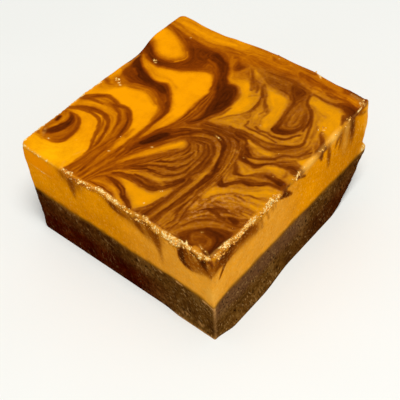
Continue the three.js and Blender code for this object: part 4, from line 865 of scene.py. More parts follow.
def draw_right():
    """The right cut: y along it, z up it."""
    cut = Marbling((-28, 8), (29, 28.5), 0.04)
    cut.patch([-27, 26, -27, 22, -25, 20.4, -22.6, 20.8, -20, 20.8, -17, 20.6, -14, 20.4, -12, 20.2,
        -11.4, 21.6, -12.2, 24, -14, 26, -20, 26], 0.42, 0.7)
    cut.line([-24.6, 21.8, -23.4, 22.2, -21.4, 22.3, -19.6, 22.5, -18, 22.8, -16.4, 23.2, -15, 23.2,
        -13.8, 22.6, -12.9, 21.7, -12.4, 20.8], [1.4, 2.4, 2.8, 2.6, 2.3, 2.4, 2.6, 2, 1.4, 0.6],
        [0.6, 0.7, 0.74, 0.66, 0.56, 0.64, 0.68, 0.6, 0.5, 0.36], 0.5)
    cut.line([-21, 21.6, -19.4, 21.6, -17.6, 21.9, -16, 22], [0.4, 0.8, 0.8, 0.4], 0.42, 0.4)
    cut.line([-20.4, 23.6, -18.4, 23.8, -16.8, 24.2], [0.5, 0.8, 0.5], 0.8, 0.35)
    cut.line([-23.6, 23.4, -22.6, 22.9, -21.4, 23], 0.7, 0.8, 0.35)
    cut.line([-22, 21, -22.6, 20, -23.3, 18.9, -23.9, 17.8], [0.9, 0.8, 0.7, 0.4], [0.66, 0.7, 0.66, 0.5],
        0.25)
    cut.line([-24.8, 25.4, -25.4, 23, -25.8, 20.6], [2, 1.8, 1], [0.62, 0.5, 0.3], 0.5)
    cut.lines([
        (0.8, [-11.4, 24.2, -11, 22.4, -10.6, 20.2]), (0.7, [-9.4, 23.8, -8.6, 21.2]),
        (0.4, [-7.6, 23.6, -7.2, 22]), (0.4, [-6.6, 23.4, -6.2, 22.2]),
    ], 0.3, 0.4)
    cut.line([-5.4, 25, -4.4, 23.9, -2.8, 22.9, -1, 21.4], [1, 1.7, 1.3, 0.5], [0.86, 0.84, 0.78, 0.5], 0.3)
    cut.line([-0.4, 25.2, 1.4, 24.2, 3.4, 22.8], [0.8, 0.8, 0.5], 0.68, 0.3)
    cut.line([8, 26, 8.8, 24.4, 9.2, 22.8], [1.7, 1.6, 0.9], [0.84, 0.8, 0.5], 0.35)
    cut.line([11.6, 24.4, 11.8, 22, 11.9, 18.6], [1, 1.3, 0.8], [0.42, 0.54, 0.3], 0.5)
    cut.line([15.8, 25.8, 15.1, 24.2, 14.2, 22.2], [1.3, 1.2, 0.6], [0.56, 0.56, 0.36], 0.45)
    cut.patch([15.4, 26, 15.8, 22, 16.6, 18.2, 18.4, 16, 20.2, 16.4, 21, 20, 20.6, 26], 0.22, 0.9)
    cut.patch([16.4, 17.4, 18.4, 15.8, 20.8, 16, 21.8, 20, 21.4, 25, 17, 25.6, 16.6, 21], 0.3, 0.9)
    cut.line([17.2, 17.6, 18.4, 16.6, 19.6, 16.8], [0.5, 1.1, 0.5], 0.46, 0.6)
    cut.line([17.4, 23, 17.8, 21, 17.9, 19], [0.8, 1, 0.5], 0.2, 0.5)
    cut.line([20, 26, 20.4, 23.4, 20.6, 20.6, 20.9, 17.4], [1.7, 1.6, 1.5, 0.9], [0.66, 0.8, 0.78, 0.5],
        0.55)
    cut.patch([13, 20, 15, 18.4, 24, 18.6, 27, 17, 27, 10, 14, 10], 0.15, 1.6)
    cut.line([22, 26, 24, 24.4, 26, 23.6], [1.4, 1, 0.5], [0.56, 0.4, 0.24], 0.5)
    cut.line([15.9, 24.6, 16.1, 22.6, 15.6, 20.4], [0.8, 0.9, 0.5], [0.5, 0.46, 0.3], 0.5)
    cut.patch([20.6, 22, 22.4, 20, 25, 18, 25, 14, 21, 14], 0.2, 1.2)
    return cut


def draw_left():
    """The left cut, away from the camera: y along it, z up it."""
    cut = Marbling((-28, 8), (29, 28.5), 0.05)
    cut.patch([-26, 15, -12, 13.6, 0, 14.6, 12, 13.8, 26, 15.6, 26, 10, -26, 10], 0.14, 1.4)
    cut.patch([-20.8, 26, -20.4, 23.6, -19, 22, -16.4, 21.2, -14.2, 22.6, -12.6, 24, -12.4, 26], 0.46, 0.7)
    cut.line([-19.4, 25.4, -18.6, 23.4, -16.8, 22.6, -14.8, 23.4], [1.6, 1.4, 1.2, 0.6],
        [0.84, 0.76, 0.66, 0.5], 0.4)
    cut.line([-17.2, 22.4, -15.8, 20.4, -15.2, 18], [1.4, 0.9, 0.4], [0.5, 0.4, 0.2], 0.6)
    cut.patch([-9.8, 26, -9, 24.4, -7.4, 23.4, -6, 24.4, -5.4, 26], 0.5, 0.5)
    cut.line([-8, 24.6, -6.8, 22.8, -4.8, 21.8, -2.6, 21.6], [1, 0.9, 0.7, 0.4], [0.5, 0.42, 0.3, 0.2], 0.5)
    cut.patch([2.2, 26, 2.4, 23.4, 4.2, 21, 7, 19.6, 9.8, 20.4, 11, 22.8, 11.4, 26], 0.5, 0.8)
    cut.line([3.4, 25.6, 4.8, 23, 7.2, 21.4, 9.4, 21.8], [1.8, 1.8, 1.4, 0.7], [0.8, 0.76, 0.64, 0.5], 0.5)
    cut.line([6.4, 21.4, 7.4, 19, 7.4, 16.8], [1.2, 0.8, 0.4], [0.5, 0.36, 0.2], 0.6)
    cut.line([12.4, 26, 13.2, 23.8, 14.8, 22.4, 17.6, 21.8], [1.4, 1.3, 0.9, 0.4], [0.84, 0.76, 0.54, 0.26],
        0.4)
    cut.patch([19, 26, 20, 24.6, 22.4, 23.8, 25, 24.8, 26, 26], 0.4, 0.6)
    return cut


def draw_back():
    """The tin side: x along it, z up it. Its swirls were pressed out sideways."""
    cut = Marbling((-28, 8), (29, 28.5), 0.06)
    cut.patch([-28, 23.4, -14, 23.8, -2, 22.8, 10, 22, 20, 20.8, 28, 20.2, 28, 28.4, -28, 28.4], 0.2, 1)
    cut.patch([-26, 16, -10, 14.6, 6, 15.6, 26, 15, 26, 10, -26, 10], 0.12, 1.6)
    cut.line([-20, 25, -8, 24.6, 3, 24.8, 14, 24, 24, 24.2], [0.6, 1, 1.2, 1, 1.4],
        [0.3, 0.36, 0.5, 0.42, 0.56], 0.5)
    cut.line([-4, 23.4, 4, 22.4, 10, 22.8, 16, 21.6, 24, 21], [0.4, 0.8, 0.6, 1], [0.3, 0.46, 0.36, 0.5],
        0.5)
    cut.patch([13, 23.4, 16.6, 21.4, 20, 19.4, 23, 19, 25, 21, 25, 24, 19, 24.6], 0.42, 0.8)
    cut.line([15.4, 22.6, 18.6, 20.8, 22, 20], [0.8, 1, 0.5], 0.6, 0.4)
    cut.line([-17, 20.8, -10, 19.6, -3, 20.2, 5, 18.8], [0.3, 0.8, 0.5], 0.18, 0.6)
    return cut


def draw_crumble_and_highlights():
    """Pale torn places along the cut edges, seen from above, pale crumbs let into the top, and painted
    highlights and glints along the rolled edges and on the top.
    """
    pale = Marbling((-27.5, -28.5), (27.5, 30.5), 0.0)
    # the torn line along the front
    pale.line([-13.8, -25.9, -10, -26, -6, -25.8, -3.4, -25.6, 0, -25.8, 4, -26.1, 8, -25.7, 12, -26.2,
        16, -26.1, 20, -26, 24.2, -26], [0.7, 0.4, 0.3, 0.9, 1.1, 0.4, 0.6, 1, 1, 0.7, 1],
        [0.8, 0.5, 0.36, 0.85, 0.8, 0.4, 0.6, 0.9, 0.9, 0.7, 0.9], 0.25)
    pale.line([24.2, -25, 24.2, -22.4, 24.5, -20.2, 25, -18.4, 25, -15, 25, -11.6, 25.1, -8, 25.4, -5],
        [0.4, 0.4, 0.7, 0.5, 1, 0.3, 1.1, 0.5], [0.7, 0.7, 0.8, 0.6, 0.85, 0.4, 0.85, 0.8], 0.2)
    pale.strokes([
        (0.3, [0.5, 0.9, 0.7], [-13.6, -25.9, -12.2, -26.1, -11.2, -25.4, -10.6, -26.1]),
        ([0.3, 0.5, 0.3], [0.5, 0.9, 0.7], [-10, -26.2, -8, -26.1, -6, -25.7, -4.4, -26]),
        ([0.3, 0.8, 0.3], 1, [-4.1, -26, -3.3, -25.3, -2.5, -26]),
        ([0.4, 0.5, 0.3], [0.8, 1, 0.8], [-1.2, -25.6, -0.4, -25.5, 0.6, -25.9, 1.8, -26.3]),
        (0.25, [0.6, 0.4, 0.6], [2, -26.3, 4, -26.1, 5.4, -26.3, 6.2, -25.7, 7.4, -26.2]),
        ([0.2, 0.4, 0.3], [0.8, 1, 0.8], [7.8, -25.2, 8.5, -25.1, 9, -25.5, 9.5, -26.1]),
        ([0.25, 0.4, 0.25], [0.7, 1, 0.9], [9.6, -26.2, 11, -26.2, 12, -26.4, 13.4, -26.3, 14.8, -26.4,
            16.6, -26.2]), (0.15, 0.35, [10.5, -25.3, 13, -25.6, 15, -25.2, 16.8, -25.3]),
        (0.55, 1, [17.2, -25.8, 17.6, -25.6]), ([0.2, 0.3], 0.9, [18.2, -24.9, 18.8, -25.5, 19.2, -26.2]),
        ([0.3, 0.5, 0.4], [0.7, 1, 0.8], [19.4, -26.2, 20.4, -25.9, 21.2, -26.1, 22.2, -26.3]),
        ([0.4, 0.6, 0.5], 0.95, [22.4, -26.2, 23.2, -25.8, 23.9, -26.2]),
        ([0.15, 0.25, 0.15], [0.7, 1, 0.8], [20.8, -24.3, 21.8, -24.7, 22.8, -24.8, 23.4, -25.1,
            24, -25.3]),
    ], 0.12)
    # the torn edge of the right cut, with its facet at the near corner
    pale.strokes([
        (0.2, 0.8, [24.1, -25, 24, -24, 24.2, -22.4, 24.4, -21, 24.3, -20]),
        (1, 0.4, [24.9, -24.6, 25, -22.6, 25, -20.6]),
        ([0.3, 0.6, 0.4], 0.9, [24.8, -22.6, 25, -21.4, 25, -20.2]),
        ([0.3, 0.6], 0.6, [24.9, -22.6, 25, -21.4, 24.9, -20.4]),
        ([0.2, 0.35, 0.2], 0.9, [25.1, -20, 25.3, -18.6, 25.1, -17.4, 24.8, -16.6]),
        ([0.4, 0.9, 0.8, 0.5], [0.7, 0.9, 0.8, 0.7], [24.9, -16.4, 25, -15.2, 24.9, -13.8, 25, -12.8]),
        (0.2, 0.6, [25, -12.6, 25.1, -11.6, 24.9, -10.8]),
        ([0.4, 0.8, 0.7, 0.4], [0.7, 1, 0.9, 0.8], [25.1, -10.4, 25.2, -9.2, 25.1, -7.8, 25.3, -6.4]),
        (0.4, 1, [25.2, -5.6, 25.5, -5.1]), (0.15, 0.5, [25.4, -4.6, 25.4, -3, 25.1, -1.6]),
        ([0.3, 0.6, 0.3], 0.85, [25.1, -0.6, 25.2, 0.6, 24.8, 1.8]), (0.4, 0.7, [24.9, 8.6, 25.1, 9.8]),
        (0.3, 0.7, [24.2, 24.8, 24.8, 26, 25, 27]),
        ([0.2, 0.5, 0.3, 0.6], [0.7, 0.95, 0.5, 0.95], [24.9, 17.2, 24.8, 18.8, 24.9, 20.8, 24.6, 22.6,
            24.6, 24]),
    ], 0.12)
    # soft pale strokes, mostly painted highlights along the rolled edges, the far corner rim and a streak on
    # the top, with a crumb line by the eye
    pale.strokes([
        (0.5, [0.8, 0.5, 0.9, 0.6, 0.8, 0.4, 0.8, 0.5, 0.7, 0.3, 0.6, 0.3], [-25.6, -24.8, -25.7, -20,
            -25.7, -15, -25.6, -8, -25.4, 0]),
        ([0.8, 1, 0.8, 0.9, 0.4], [0.9, 0.8, 0.9, 0.74, 0.5], [-25.6, -25.8, -23, -26.3, -20.6, -26.2,
            -18, -26.4, -15, -26.3]), ([0.5, 1.1, 0.6], 0.3, [24.9, 2.8, 24.8, 5, 25, 7.2]),
        ([0.5, 0.9, 0.4], 0.28, [24.8, 11.8, 24.5, 13.4, 24.8, 15]),
        ([0.3, 0.7, 0.3], 0.3, [25, 19.8, 24.8, 21.6, 24.9, 23]),
        (1.1, 0.34, [20.6, 26, 22.6, 25.8, 24.2, 24.6]), (0.4, 0.5, [18.4, 27, 20.6, 27.4, 23, 27]),
        ([0.5, 0.8, 0.4], 0.35, [-24.6, -19.6, -24.1, -20.6, -23.4, -21.4]),
        (0.3, 0.35, [-24.8, 4, -24.9, 7, -24.8, 10]),
        (0.25, 0.4, [-13.4, -19.4, -13.9, -20.6, -14.4, -21.7]),
        (0.3, 0.35, [-14.6, -24, -14.2, -25, -13.8, -26]),
    ], 0.25)
    # pale flecks on the top: cream crumbs, and some painted highlights
    flecks = [(-21.9, -21.4, 0.5), (-17, -18.3, 0.35), (-3, -10.6, 0.55), (19.3, -21.7, 0.45),
        (10.8, 7.5, 0.4), (21.9, 13.9, 0.45), (22.3, 13, 0.3), (23, 5, 0.3), (-20.6, 10.4, 0.7),
        (-20.1, 9.9, 0.5), (-19.2, 21, 0.35), (21.4, -2.5, 0.3), (13.7, -1.8, 0.25), (1.5, 26.5, 0.4),
        (23.4, 24.9, 0.4), (-22, 0, 0.6), (-21.3, -0.3, 0.5), (-23, 1, 0.4), (-22.7, 0.4, 0.3),
        (-9.4, -16.6, 0.4), (6.5, -18.5, 0.5), (5.8, -22.8, 0.4)]
    for x, y, size in flecks:
        pale.line([x - 0.3 * size, y - 0.1 * size, x + 0.3 * size, y + 0.2 * size], 0.6 * size, 0.85, 0.12)
    # small pale marks; the first two are painted glints on the top
    pale.strokes([
        (0.25, 1, [5.1, -0.2, 5.4, -0.25, 5.8, -0.35]), (0.2, 0.9, [6, -0.3, 6.5, -0.45, 6.9, -0.6]),
        (0.3, 0.5, [11, -1.4, 11.3, -1.3, 11.6, -1.1]),
        ([0.5, 0.6, 0.4], 0.8, [11.2, 27.2, 11.8, 26.9, 12.4, 26.4]),
        (0.3, 0.5, [8.2, 28, 9.4, 28.4, 10.4, 28]),
    ], 0.1)
    return pale


# ---------------------------------------------------------------- the form, as the solids have it

ON_CUT = 0.9999
LAYER_LINE = 12.1
TIN_BASE = 11.0
TIN_BASE_POWER = 1.5
TIN_RISE = 1.9
TIN_ROLL = 1.4
LEFT_ROLL = 0.5
BURR_WIDTH = 1.4
CORNER_ROUND = {(-1, -1): 1.5, (1, -1): 0.35, (1, 1): 0.6, (-1, 1): 1.8}


def outward(share):
    """1 or -1 on the two faces that stand across this way, 0 between them."""
    return np.where(np.abs(share) > ON_CUT, np.sign(share), 0)


def layer_line(x, y):
    """Height where the orange meets the chocolate."""
    from_corner = (WIDTH / 2 - x) / 3.5 + (y + DEPTH / 2) / 1.2
    wave = np.sin(0.31 * x + 0.13 * y + 0.4) + 0.6 * np.sin(0.83 * x - 0.57 * y)
    return LAYER_LINE - 0.016 * x + 0.16 * wave - 1.3 * np.exp(-from_corner)


def tin_side(x, z):
    under = np.clip(1 - z / TIN_BASE, 0, 1)
    hollow = 1 - (1 - under**TIN_BASE_POWER) ** (1 / TIN_BASE_POWER)
    bulge = 0.7 * ramp(10, 19, z) * (0.7 + 0.5 * np.sin(0.21 * x + 1))
    chip = 1.5 * bell(z, 11.6, 1.9) - 0.5 * bell(z, 14.8, 0.9) + 0.55 * bell(z, 20, 3.4)
    return bulge + chip * bell(x, WIDTH / 2, 1.3) - TIN_BASE * hollow


def right_side(y, z):
    along = ramp(-DEPTH / 2, -19, y) * (1 - 0.8 * ramp(-8, 6, y))
    return along * np.clip(1 - z / 3.4, 0, 1) ** 2


def left_side(y, z):
    along = 0.8 + 0.7 * ramp(9, 17, y) - 0.3 * bell(y, 9, 3.5)
    return along * ramp(2, 15, z) + 0.5 * bell(y, -DEPTH / 2, 4) * bell(z, 21, 3)


def front_side(x, z):
    return 0.35 * ramp(11, 16, x) * np.clip(1 - z / 1.2, 0, 1)


def plan(s, t, z):
    """Plan position at a height; s and t run from -1 to 1 across the square."""
    x, y = s * WIDTH / 2, t * DEPTH / 2
    radius = np.zeros_like(x)
    for (side_x, side_y), size in CORNER_ROUND.items():
        radius = np.where((x * side_x >= 0) & (y * side_y >= 0), size, radius)
    dx, dy = np.abs(x) - (WIDTH / 2 - radius), np.abs(y) - (DEPTH / 2 - radius)
    corner = (dx > 0) & (dy > 0)
    pull = np.where(corner, np.maximum(dx, dy) / np.maximum(np.hypot(dx, dy), 1e-9) - 1, 0)
    x, y = x + np.sign(x) * dx * pull, y + np.sign(y) * dy * pull
    right, back = (s + 1) / 2, (t + 1) / 2
    out_x = right * right_side(y, z) - (1 - right) * left_side(y, z)
    out_y = back * tin_side(x, z) - (1 - back) * front_side(x, z)
    return x + out_x, y + out_y


def top_height(x, y):
    climb = 0.58 + 0.5 * ramp(-20, 2, x) - 0.35 * ramp(20, 25.5, x) + 0.25 * bell(x, 11, 3)
    return HEIGHT + TIN_RISE * climb * ramp(7, 22, y) + ripples(x, y, (0.16, 0.13, 21), (0.08, 0.4, 22))


def front_torn(x):
    return ramp(-15, -12, x) * (0.45 + 0.55 * ramp(7, 12, x))


def right_torn(y):
    return 1 - 0.75 * ramp(-6, 1, y)


def edge_drop(s, t):
    """Height lost where the upper edges roll over."""
    x, y = s * WIDTH / 2, t * DEPTH / 2
    front = 0.5 + 0.9 * front_torn(x) * np.clip(0.4 + waves(0.42 * x, 3.1 + 0 * x, 23), 0, 2)
    right = 0.5 + 0.9 * right_torn(y) * np.clip(0.3 + waves(0.38 * y, 7.7 + 0 * y, 24), 0, 2)
    left = mix(LEFT_ROLL, TIN_ROLL, ramp(14, 23, y))
    drop = np.zeros_like(x)
    distances = (DEPTH / 2 - y, DEPTH / 2 + y, WIDTH / 2 - x, WIDTH / 2 + x)
    for distance, radius in zip(distances, (TIN_ROLL, front, right, left)):
        inside = np.clip(1 - distance / radius, 0, 1)
        drop = np.maximum(drop, radius * (1 - np.sqrt(1 - inside**2)))
    return drop


def torn_band(s, t):
    """How torn the fudge is at a place in plan: 1 at the worst of the cut edges, 0 inside."""
    x, y = s * WIDTH / 2, t * DEPTH / 2
    front = front_torn(x) * np.clip(1 - (DEPTH / 2 + y) / BURR_WIDTH, 0, 1)
    right = right_torn(y) * np.clip(1 - (WIDTH / 2 - x) / BURR_WIDTH, 0, 1)
    return np.maximum(front, right)


# ---------------------------------------------------------------- meshes

SIDE_CELLS = 250
ORANGE_DEPTHS = [0, 0.2, 0.42, 0.66, 0.92, 1.2, 1.5, 1.8, 2.1, 2.4, 2.7, 3, 3.3, 3.6, 3.9, 4.25, 4.6, 5,
    5.4, 5.8, 6.2, 6.6, 7, 7.4, 7.8, 8.3, 8.8, 9.4, 10, 10.6, 11.2, 11.8, 12.3, 12.7, 13]
SLIDE = (-0.61, 0.66)
CHOCOLATE_SHARES = np.append(np.linspace(1, 0.06, 26), [0.03, 0.012, 0])
BASE_RINGS = [0.975, 0.8, 0.45]
# painted highlights along the right lip: strength, y and its width, z and its width
LIP_LIGHTS = [(1, 13.6, 1.9, 25.4, 1.1), (0.9, 5, 2.4, 24.8, 1), (0.5, 18.4, 1.1, 24.4, 1.6),
    (0.35, 9.6, 1.6, 25.6, 0.7), (0.35, 18, 0.9, 20.5, 2.4)]
# small holes in the chocolate's cuts: place along the cut, height and size
FRONT_HOLLOWS = [(4.8, 10, 0.42), (16.8, 3.1, 0.4), (21.2, 3, 0.25), (10.6, 8.4, 0.25), (-0.4, 9, 0.3),
    (-9, 10.4, 0.25)]
RIGHT_HOLLOWS = [(-23, 7.8, 0.3), (-5.6, 2.4, 0.35), (7, 8, 0.3), (12, 7.4, 0.4), (19.2, 10.8, 0.4),
    (1.6, 6.2, 0.25), (-10, 6, 0.2)]
CRUMB_SIZE = 0.06
CRUMB_SPAN = 4.4
STRAY_CRUMBS = 300


def drop_rim(shell, rim, rows):
    """Draws the rim down row by row; z counts the rows. Returns the last rim."""
    for _ in range(rows):
        made = bmesh.ops.extrude_edge_only(shell, edges=rim)["geom"]
        lowered = [v for v in made if isinstance(v, bmesh.types.BMVert)]
        bmesh.ops.translate(shell, verts=lowered, vec=(0, 0, -1))
        rim = [e for e in made if isinstance(e, bmesh.types.BMEdge) and e.is_boundary]
    return rim


def close_rim(shell, rim):
    """Closes a rim with a fan of faces."""
    face = bmesh.ops.contextual_create(shell, geom=rim)["faces"]
    bmesh.ops.poke(shell, faces=face)


def finish_mesh(shell, name):
    """The bmesh as an object, and its points as arrays."""
    bmesh.ops.recalc_face_normals(shell, faces=shell.faces)
    mesh = bpy.data.meshes.new(name)
    shell.to_mesh(mesh)
    shell.free()
    mesh.polygons.foreach_set("use_smooth", np.ones(len(mesh.polygons), bool))
    piece = bpy.data.objects.new(name, mesh)
    bpy.context.collection.objects.link(piece)
    at = np.empty(3 * len(mesh.vertices))
    mesh.vertices.foreach_get("co", at)
    return piece, at.reshape(-1, 3).T


def place_points(piece, x, y, z):
    """Puts the points in place, none of them beyond the solids' reach."""
    at = np.clip(np.stack([x, y + CENTRE_Y, z], 1) * MM, *np.array(cad_box))
    piece.data.vertices.foreach_set("co", at.ravel())
    piece.data.update()


def paint(piece, **numbers):
    """Numbers at each point, by name, that the material reads."""
    for name, values in numbers.items():
        values = np.ascontiguousarray(np.broadcast_to(values, len(piece.data.vertices)), np.float32)
        piece.data.attributes.new(name, "FLOAT", "POINT").data.foreach_set("value", values)


def seam_points(s, t):
    """Where the two layers meet on the sides."""
    x, y = plan(s, t, np.full_like(s, LAYER_LINE))
    z = layer_line(x, y)
    x, y = plan(s, t, z)
    return x, y, z


def top_points(s, t, pale):
    """The top's points, with rolled edges and torn crumbs."""
    x, y = plan(s, t, np.full_like(s, HEIGHT))
    torn = torn_band(s, t)
    ragged = ripples(x, y, (1, 0.93, 31), (0.6, 2.1, 32))
    fine = ripples(x, y, (1, 3.3, 33), (0.6, 5.6, 34))
    crumb = torn * (0.42 * ragged + 0.22 * fine)
    z = top_height(x, y) - edge_drop(s, t) + crumb + 0.3 * pale.read(x, y) * (0.5 + 0.8 * fine)
    z = z + ripples(x, y, (0.012, 1.7, 35), (0.006, 4, 36))
    push = torn * (0.3 * ragged + 0.15 * fine)
    return x + outward(s) * push, y + outward(t) * push, z


def side_levels(s, t, x, y, z, depth, top_level, sides):
    """Cocoa on the sides: the top's own level at the edge, then that side's map."""
    front, right, left, back = sides
    across_x = np.where(t < 0, front.read(x, z), back.read(x, z))
    across_y = np.where(s > 0, right.read(y, z), left.read(y, z))
    level = np.where(np.abs(t) > np.abs(s), across_x, across_y)
    return mix(top_level, level, ramp(0.1, 1.1, depth))


def cut_relief(s, t, along, z, share):
    """How far the orange's cut faces stand out: waves, grain, and shreds under the torn lip."""
    grain = 0.1 * waves(0.5 * along + 40, 0.25 * z, 41) + 0.035 * waves(1.6 * along + 90, 0.8 * z, 42)
    grain = grain + 0.02 * waves(4.2 * along + 300, 1.6 * z, 43)
    ragged = waves(1.1 * along + 60, 1.1 * z, 44) + 0.6 * waves(2.7 * along + 200, 2.7 * z, 45)
    shreds = 0.22 * torn_band(s, t) * ragged * ramp(0.3, 0.03, share) * ramp(0, 0.03, share)
    return grain * ramp(0, 0.12, share) * ramp(1, 0.93, share) + shreds


def chip_spot(y, z):
    """The chip at the foot of the orange, where the right cut meets the tin side."""
    return spot(y - 26, z - 12.7, 1.1)


def orange_crumble_and_highlights(s, x, y, z, lip, along, wall, pale):
    """How pale the orange is: torn places, the chip, painted highlights from the pale map, and a painted
    highlight line on the front.
    """
    crumbly_and_highlit = pale.read(*drawn_at(x, y, lip))
    crumbly_and_highlit = crumbly_and_highlit * (0.7 + 0.4 * np.clip(ripples(x, y, (1, 1.9, 51), (0.8, 4.4, 52)), -1, 1))
    below = lip - z + 0.3 * waves(1.9 * along, 1.3 * z, 53)
    crumbly_and_highlit = crumbly_and_highlit * np.where(wall, ramp(0.36, 0, below), 1)
    chip = 0.8 * chip_spot(y, z) * (wall & (s > ON_CUT))
    # a painted highlight line along the low ridge at the front's left
    lip_highlight_line = 0.65 * bell(z, 20.3 - 0.06 * (x + 24), 0.22) * bell(x, -21, 3) * (wall & (y < -24))
    return np.clip(np.maximum(crumbly_and_highlit, np.maximum(chip, lip_highlight_line)), 0, 1)


def orange_light(s, t, x, y, z, wall):
    """Painted highlights on the orange: along the right lip, the far rim and the near corners."""
    lip = blots(y, z, *LIP_LIGHTS)
    uneven = 0.62 + 0.5 * waves(0.9 * y, 0.7 * z, 56)
    far_rim = 0.9 * ramp(24.9, 26, y) * ramp(13, 16, z) * uneven + 0.75 * chip_spot(y, z)
    foot = 0.55 * spot(x - WIDTH / 2, y + DEPTH / 2, 1.9) * bell(z, 14.2, 2.6)
    corner = ramp(0.94, 0.99, np.minimum(-s, -t)) * ramp(12.5, 17, z)
    corner = corner * (0.5 + 0.5 * waves(0 * z, 0.9 * z, 55))
    light = ramp(23.9, 24.8, x) * lip + (s > ON_CUT) * far_rim + foot + 0.6 * wall * corner
    return np.clip(light, 0, 1)


def make_orange(top, pale, sides):
    """The marbled layer: a fine grid for the top, walls down to the seam."""
    shell = bmesh.new()
    bmesh.ops.create_grid(shell, x_segments=SIDE_CELLS, y_segments=SIDE_CELLS, size=1)
    rim = drop_rim(shell, [e for e in shell.edges if e.is_boundary], len(ORANGE_DEPTHS) - 1)
    close_rim(shell, rim)
    for edge in rim:
        edge.smooth = False
    piece, (s, t, row) = finish_mesh(shell, "marbled_fudge")
    row = np.rint(-row).astype(int)
    hub = (row == row.max()) & (np.maximum(np.abs(s), np.abs(t)) < 0.5)
    x, y, z = top_points(s, t, pale)
    lip = z.copy()
    level = top.read(*warp(*drawn_at(x, y, z)))
    seam = seam_points(s, t)
    share = np.array(ORANGE_DEPTHS)[row] / ORANGE_DEPTHS[-1]
    down = mix(lip, seam[2], share)
    side_x, side_y = plan(s, t, down)
    along = side_x + side_y
    relief = cut_relief(s, t, along, down, share)
    sides_at = (side_x + outward(s) * relief, side_y + outward(t) * relief, down)
    wall, last = row > 0, row == row.max()
    for target, wall_at, seam_at in zip((x, y, z), sides_at, seam):
        target[wall] = wall_at[wall]
        target[last] = seam_at[last]
    x[hub], y[hub], z[hub] = 0, 0, layer_line(0.0, 0.0)
    place_points(piece, x, y, z)
    depth = lip - z
    level = level + 0.07 * ramp(0, 8, x) * ramp(0.4, 0, level)
    level = np.where(wall, side_levels(s, t, x, y, z, depth, level, sides), level)
    hairs = top.read(*drawn_at(x, y, z), top.streaks(seed=5)) * np.where(wall, 0.25, 1)
    level = level + 0.045 * hairs * np.clip(4 * level * (1.15 - level), 0.12, 1)
    front, right = t < -ON_CUT, s > ON_CUT
    front_glow = np.clip(blots(x, z, (1.2, -21.5, 5, 22.4, 3)) * front, 0, 1)
    smear = 0.85 * ramp(1.1, -0.1, z - seam[2] + 0.2 * waves(0.8 * along, 0 * z, 54))
    clotted = blots(x, y, (1, 18, 3.6, -13, 3.4), (0.9, 15.2, 1.8, -18, 3), (0.5, 9, 4, 0, 3))
    sides_haze = np.where(right, ramp(4, -6, y), ramp(-2, 16, x) * front)
    paint(
        piece,
        cocoa=np.clip(level, 0, 1),
        # pale torn places and crumbs, and painted highlights
        crumble=orange_crumble_and_highlights(s, x, y, z, lip, along, wall, pale),
        cut=np.where(wall, ramp(0.1, 0.9, depth), 0),
        glow=np.where(wall, front_glow, blots(x, y, (0.4, -24.4, 1, -25.2, 1))),
        smear=np.where(wall, smear, 0),
        rust=np.clip(ramp(6, -6, x) + ramp(19, 23, y), 0, 1),
        milk=np.clip(clotted, 0, 1),
        # painted highlights along the lip, the far rim and the near corners
        bright=orange_light(s, t, x, y, z, wall),
        haze=np.where(wall, sides_haze, blots(x, y, (1, -17.5, 7, -23.5, 5))),
    )
    return piece


def drawn_at(x, y, z):
    """Where a point of the top lies on the flat drawing: the swirls slid as the fudge climbed."""
    climbed = np.maximum(z - HEIGHT, -0.6)
    return x + SLIDE[0] * climbed, y + SLIDE[1] * climbed


def warp(x, y):
    """Small wanderings of the swirls."""
    off_x = ripples(x, y, (0.12, 0.9, 11), (0.05, 2.3, 12))
    off_y = ripples(x, y, (0.12, 0.9, 13), (0.05, 2.3, 14))
    return x + off_x, y + off_y


def chocolate_rim(x, y, z, seam_z, front):
    """Where the chocolate is painted paler: foot, near corner, seam, and lumps on the front."""
    foot = ramp(0.4, 0.1, z) * ramp(13, 16, x) * front
    corner = spot(x - WIDTH / 2, y + DEPTH / 2, 0.4) * (0.3 + 0.6 * ramp(6.5, 10, z))
    seam = bell(seam_z - z, 0.45, 0.16) * ramp(10, 13, x) * ramp(0, 0.5, waves(1.6 * x, 0 * x, 67)) * front
    lumps = blots(x, z, (0.6, 17.2, 1.2, 1.9, 0.7), (0.6, 21.4, 1, 1.9, 0.7))
    lumps = lumps * ramp(-0.3, 0.4, waves(2 * x, 2 * z, 68)) * front
    hole = 0.7 * spot((x - 5.3) / 1.3, z - 10.5, 0.24) * front
    return np.clip(0.8 * foot + corner + seam + lumps + hole, 0, 1) * (z > 0.02)


